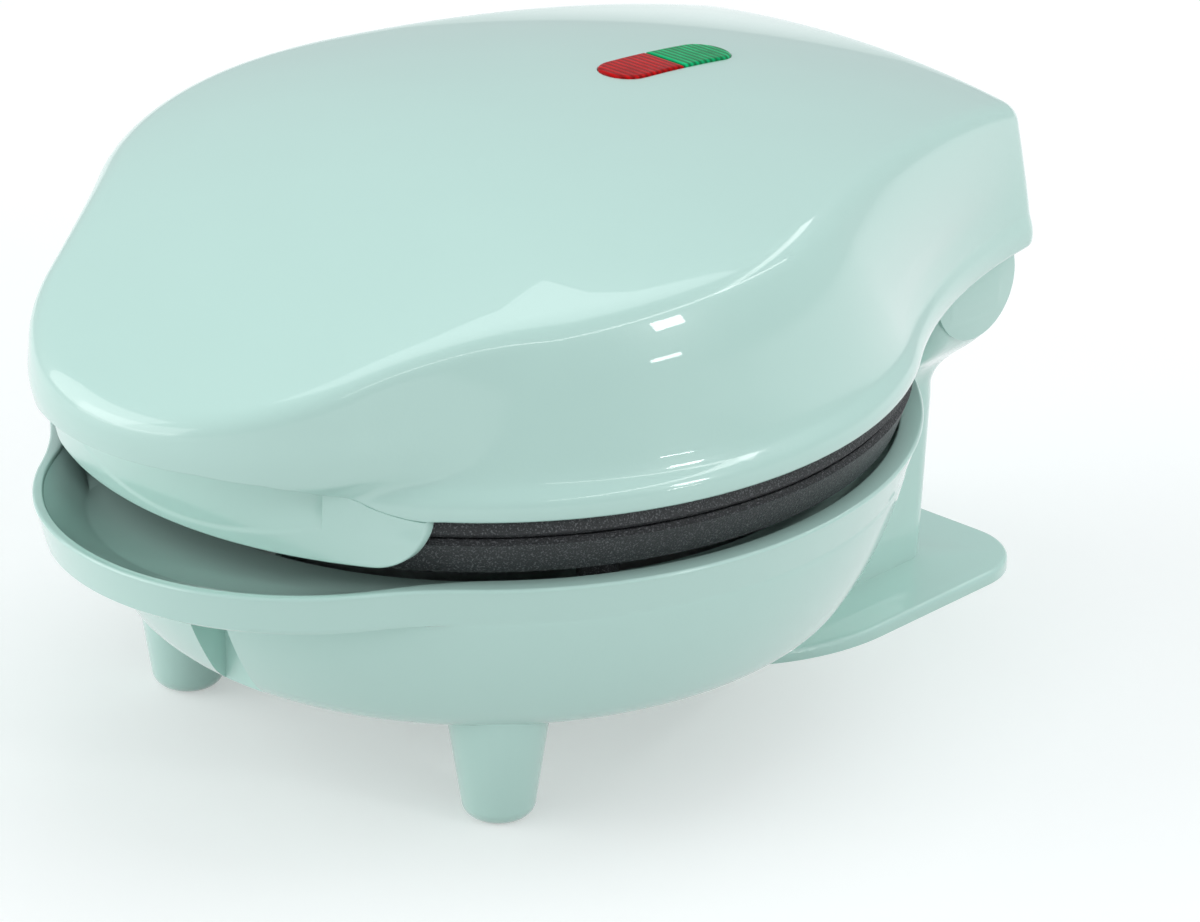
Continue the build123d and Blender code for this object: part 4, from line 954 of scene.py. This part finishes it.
def guard_outline():
    """Front view of the guard: foot, round corners, upright sides and the handle's edge."""
    across = np.concatenate([np.linspace(*columns) for columns in guard_columns])
    turn = quarter(guard_corner_steps)[1:]
    corner = np.column_stack([guard_half_width - guard_corner * (1 - np.sin(turn)),
                              guard_bottom + guard_corner * (1 - np.cos(turn))])
    foot = np.column_stack([across, np.full_like(across, guard_bottom)])
    top = handle_edge(guard_half_width) - guard_gap
    upright = np.linspace(corner[-1, 1], top, guard_side_points)[1:]
    side = np.column_stack([np.full_like(upright, guard_half_width), upright])
    outer = np.linspace(guard_half_width, guard_half_width - guard_corner, guard_edge_points)
    back = np.concatenate([outer[1:-1], across[::-1]])
    edge = np.column_stack([back, handle_edge(back) - guard_gap])
    half = np.vstack([foot, corner, side, edge])
    return both_sides(half)


def guard_surface(x, z, depth, reach):
    """A place on the guard: the drum round the plates, leaning in to the lid at both ends.

    The lean eases in and out over the height. The finger recess is sunk into the outer
    face above an arc that hangs lowest in the middle, and is deepest at its two ends.
    """
    side = np.abs(x)
    reach_x, reach_radius = reach
    top = handle_edge(x)
    rise = np.clip((z - guard_bottom) / (top - guard_bottom), 0, 1)
    outer = guard_inner + guard_wall
    lean = np.minimum(np.interp(side, reach_x, reach_radius) - outer, 0)
    lean = lean * smooth_step((rise - lean_start) / (1 - lean_start))
    share = np.minimum(side / recess_half_width, 1)
    bottom = recess_middle_bottom + (recess_end_bottom - recess_middle_bottom) * share**2
    inside = 1 - smooth_step((side - recess_half_width) / recess_side + 0.5)
    inside = inside * smooth_step((z - bottom) / recess_edge + 0.5)
    scoop = recess_end_depth * share**4 * smooth_step((z - bottom) / recess_slope)
    hollow = inside * (recess_depth + scoop) * (1 - depth / guard_wall)
    radius = outer + lean - hollow - depth
    return np.column_stack([x, -np.sqrt(radius**2 - x**2), z])


def handle_guard():
    """Rings of the guard from the middle of its face, over the edge, to its back."""
    edge = guard_outline()
    middle_x = np.clip(edge[:, 0], -guard_medial_reach, guard_medial_reach)
    middle_z = (guard_bottom + handle_edge(middle_x)) / 2
    middle = np.column_stack([middle_x, middle_z])
    span = np.linalg.norm(edge - middle, axis=1)
    low = lid_point(lid_low_edge(), 0.0)
    low = low[(low[:, 1] < 0) & (low[:, 0] >= 0)]
    low = low[np.argsort(low[:, 0])]
    reach = (low[:, 0], np.hypot(low[:, 0], low[:, 1]))
    at_top = edge[:, 1] > handle_edge(edge[:, 0]) - 2 * guard_gap
    rounding = np.where(at_top, guard_top_round, guard_edge_round)

    def ring(inset, depth):
        place = edge + (middle - edge) * (inset / span)[:, None]
        return guard_surface(place[:, 0], place[:, 1], depth, reach)

    rings = [ring(span * share, 0.0) for share in np.linspace(1, 0, guard_face_rings)[:-1]
             if (span * share).min() > guard_edge_round]
    for angle in quarter(edge_steps):
        rings.append(ring(rounding * (1 - math.sin(angle)), rounding * (1 - math.cos(angle))))
    for angle in quarter(edge_steps)[::-1]:
        rings.append(ring(rounding * (1 - math.sin(angle)),
                          guard_wall - rounding * (1 - math.cos(angle))))
    rings += [ring(span * share, guard_wall) for share in np.linspace(0, 1, guard_back_rings)[1:]
              if (span * share).min() > guard_edge_round]
    rings = np.stack(rings)
    faces = ring_faces(*rings.shape[:2])
    return mesh_piece("handle_guard_shell", rings.reshape(-1, 3), faces, "lid",
                      "mint_plastic", weld=True)


def handle_floor():
    """Slab that closes the handle from below, cut to the handle's plan."""
    plan = lid_point(np.full(outer_plans.shape[1], handle_floor_low), handle_floor_inset)
    half = plan[(plan[:, 1] < handle_floor_rear) & (np.abs(plan[:, 0]) < handle_floor_reach)]
    half = half[np.argsort(half[:, 0])][:, :2]
    across = half[::-1, 0]
    back = handle_floor_overlap - np.sqrt(guard_inner**2 - across**2)
    outline = np.vstack([half, np.column_stack([across, back])])
    rings = []
    low, top = handle_floor_low, handle_floor_low + handle_floor_thickness
    edge = handle_floor_round
    for inset, height in ((3 * edge, low), (edge, low), (0, low + edge), (0, top - edge),
                          (edge, top), (3 * edge, top)):
        plan = outline + (handle_floor_centre - outline) * (inset / handle_floor_span)
        rings.append(np.column_stack([plan, np.full(len(plan), height)]))
    points, faces = closed_rings(np.stack(rings))
    return mesh_piece("handle_floor", points, faces, "lid", "mint_plastic")


def lens_cap(name, side, slot):
    """Half of the slot of lights: a D in plan, its top parallel to the crown."""
    reach = lens_length / 2 - lens_gap
    half_width = lens_width / 2 - lens_gap
    angle = np.linspace(0, math.pi, lens_round_points)
    bend = np.column_stack([half_width * np.cos(angle),
                            (reach - half_width) + half_width * np.sin(angle)])
    straight = np.linspace(reach - half_width, lens_seam_gap, lens_side_points)[1:]
    left = np.column_stack([np.full_like(straight, -half_width), straight])
    across = np.linspace(-half_width, half_width, lens_side_points)[1:-1]
    seam = np.column_stack([across, np.full_like(across, lens_seam_gap)])
    right = np.column_stack([np.full_like(straight, half_width), straight[::-1]])
    outline = np.vstack([bend, left, seam, right]) * np.array([1.0, side])
    outline += np.array([0.0, lens_y])
    centre = np.array([0.0, side * reach / 2 + lens_y])
    rings = []
    for share in np.linspace(*lens_top_shares):
        plan = centre + (outline - centre) * share
        rings.append(np.column_stack([plan, crown(plan[:, 0], plan[:, 1]) + lens_proud]))
    for turn in quarter(lens_edge_steps):
        inset = lens_edge_round * (1 - math.sin(turn))
        drop = lens_edge_round * (1 - math.cos(turn))
        plan = outline + (centre - outline) * (inset / half_width)
        rings.append(np.column_stack([plan, crown(plan[:, 0], plan[:, 1]) + lens_proud - drop]))
    base = crown(outline[:, 0], outline[:, 1]) - lens_depth
    rings.append(np.column_stack([outline, base]))
    rings.append(np.column_stack([centre + (outline - centre) * 0.5, base]))
    points, faces = closed_rings(np.stack(rings))
    return mesh_piece(name, points, faces, "lid", slot)


def hinge_barrel():
    """The lid's barrel: a bar along the hinge with rounded ends."""
    turn = quarter(edge_steps)
    end = np.column_stack([barrel_radius - barrel_edge_round * (1 - np.cos(turn)),
                           -barrel_half_length + barrel_edge_round * (1 - np.sin(turn))])[::-1]
    bore = [(barrel_bore_radius, -barrel_half_length + barrel_bore_depth),
            (barrel_bore_radius, -barrel_half_length)]
    half = np.vstack([bore, end])
    profile = np.vstack([half, half[::-1] * np.array([1, -1])])
    return turned("hinge_barrel", profile, (0, hinge_y, hinge_height), "lid", "mint_plastic",
                  barrel_columns, axis=0)


def hinge_web(name, side):
    """A rounded rib from the barrel up into the lid's roof."""
    near, far = web_inner_x, barrel_half_length
    outline = rounded_box_outline((far - near) / 2, hinge_y - web_front, hinge_y + web_rear,
                                  web_corner)
    outline[:, 0] += side * (near + far) / 2
    rings = [np.column_stack([outline, np.full(len(outline), height)])
             for height in np.linspace(hinge_height, web_top, web_rings)]
    points, faces = closed_rings(np.stack(rings))
    return mesh_piece(name, points, faces, "lid", "mint_plastic")


def pocket_plug(side):
    """Closes the slit that an ear's pocket leaves in the stand: the hull of its low corner."""
    mesh = frame["nodes"]["rear_stand"].data
    places = np.empty(3 * len(mesh.vertices))
    mesh.vertices.foreach_get("co", places)
    points = (places.reshape(-1, 3) - (0, plate_axis_y, 0)) / millimetre
    x, y, z = points[:, 0] * side, np.abs(points[:, 1] - hinge_y), points[:, 2] - pocket_floor
    corner = (x > pocket_side - corner_width) & (x < pocket_side + pocket_slack)
    corner &= (y < pocket_depth + pocket_slack) & (z > -pocket_slack) & (z < corner_height)
    corner &= ((z < pocket_slack) | (x > pocket_side - pocket_slack)
               | (y > pocket_depth - pocket_slack))
    solid = cutter("pocket_plug", points[corner], [])
    work = bmesh.new()
    work.from_mesh(solid.data)
    hull = bmesh.ops.convex_hull(work, input=work.verts)
    spare = list({*hull["geom_interior"], *hull["geom_unused"]})
    bmesh.ops.delete(work, geom=spare, context="VERTS")
    work.to_mesh(solid.data)
    work.free()
    return outward(solid)


def softened(node_name, name, body, slot, width, *plugs):
    """A copy of a CAD shape, merged and plugged, with its edges rolled over by a small bevel."""
    mesh = frame["nodes"][node_name].data.copy()
    work = bmesh.new()
    work.from_mesh(mesh)
    bmesh.ops.remove_doubles(work, verts=work.verts, dist=merge_distance)
    bmesh.ops.dissolve_limit(work, angle_limit=math.radians(flat_angle), verts=work.verts,
                             edges=work.edges)
    work.to_mesh(mesh)
    work.free()
    piece = cut(piece_from_mesh(name, mesh, body, slot), "UNION", *plugs)
    roll = piece.modifiers.new("edge_roll", "BEVEL")
    roll.width = width * millimetre
    roll.segments = 3
    roll.limit_method = "ANGLE"
    roll.angle_limit = math.radians(roll_angle)
    roll.harden_normals = False
    return cut(piece, "UNION")


photograph_camera()
studio_world()
studio_floor()
soft_light("key_left", (-1.9, -1.5, 1.3), light_aim, (2.2, 1.8), 20.5)
soft_light("fill_front", (-1.2, -2.2, 0.75), light_aim, (2.4, 1.3), 15.0)
soft_light("top", (-0.1, 0.5, 2.4), (0, 0, 0), (1.8, 1.8), 14.0, (0.94, 0.98, 1.0))
window_light("window_main", 54.0, 25.5, 9.0, 8.5, 14.0)
window_light("window_low", 50.0, 9.5, 9.0, 1.6, 14.0)
window_light("window_high", 62.0, 42.0, 74.0, 2.8, 4.5)
window_light("window_far", 114.0, 45.0, 54.0, 4.0, 3.4)
window_light("window_left", -60.0, 10.0, 30.0, 1.6, 3.0)

slot_of = {entry["node"]: entry["material_slot"] for entry in frame["record"]["subparts"]}
for node_name, node in frame["nodes"].items():
    node.data.materials.clear()
    node.data.materials.append(finishes[slot_of[node_name]])

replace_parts(lid_shell(), "lid_cover")
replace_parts(base_shell(), "base_housing")
cast_boss = [(cast_boss_radius, cast_boss_high),
             (cast_boss_radius, cast_boss_low + cast_boss_edge),
             (cast_boss_radius - cast_boss_edge, cast_boss_low)]
for number, place in enumerate(plate_screw_places, 1):
    turned(f"lower_plate_boss_{number}", cast_boss, (*place, 0), "base", "plate_coating",
           boss_columns)
front_leg("front_leg_left", -leg_x)
front_leg("front_leg_right", leg_x)
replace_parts(handle_guard(), "handle_guard")
handle_floor()
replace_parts(lens_cap("red_lens_cap", -1, "red_lens"), "red_lens")
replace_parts(lens_cap("green_lens_cap", 1, "green_lens"), "green_lens")
hinge_barrel()
hinge_web("hinge_web_left", -1)
hinge_web("hinge_web_right", 1)
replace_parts(softened("rear_stand", "rear_stand_shell", "base", "mint_plastic", stand_edge_roll,
                     pocket_plug(-1), pocket_plug(1)), "rear_stand")

bpy.context.scene.view_settings.view_transform = "Standard"
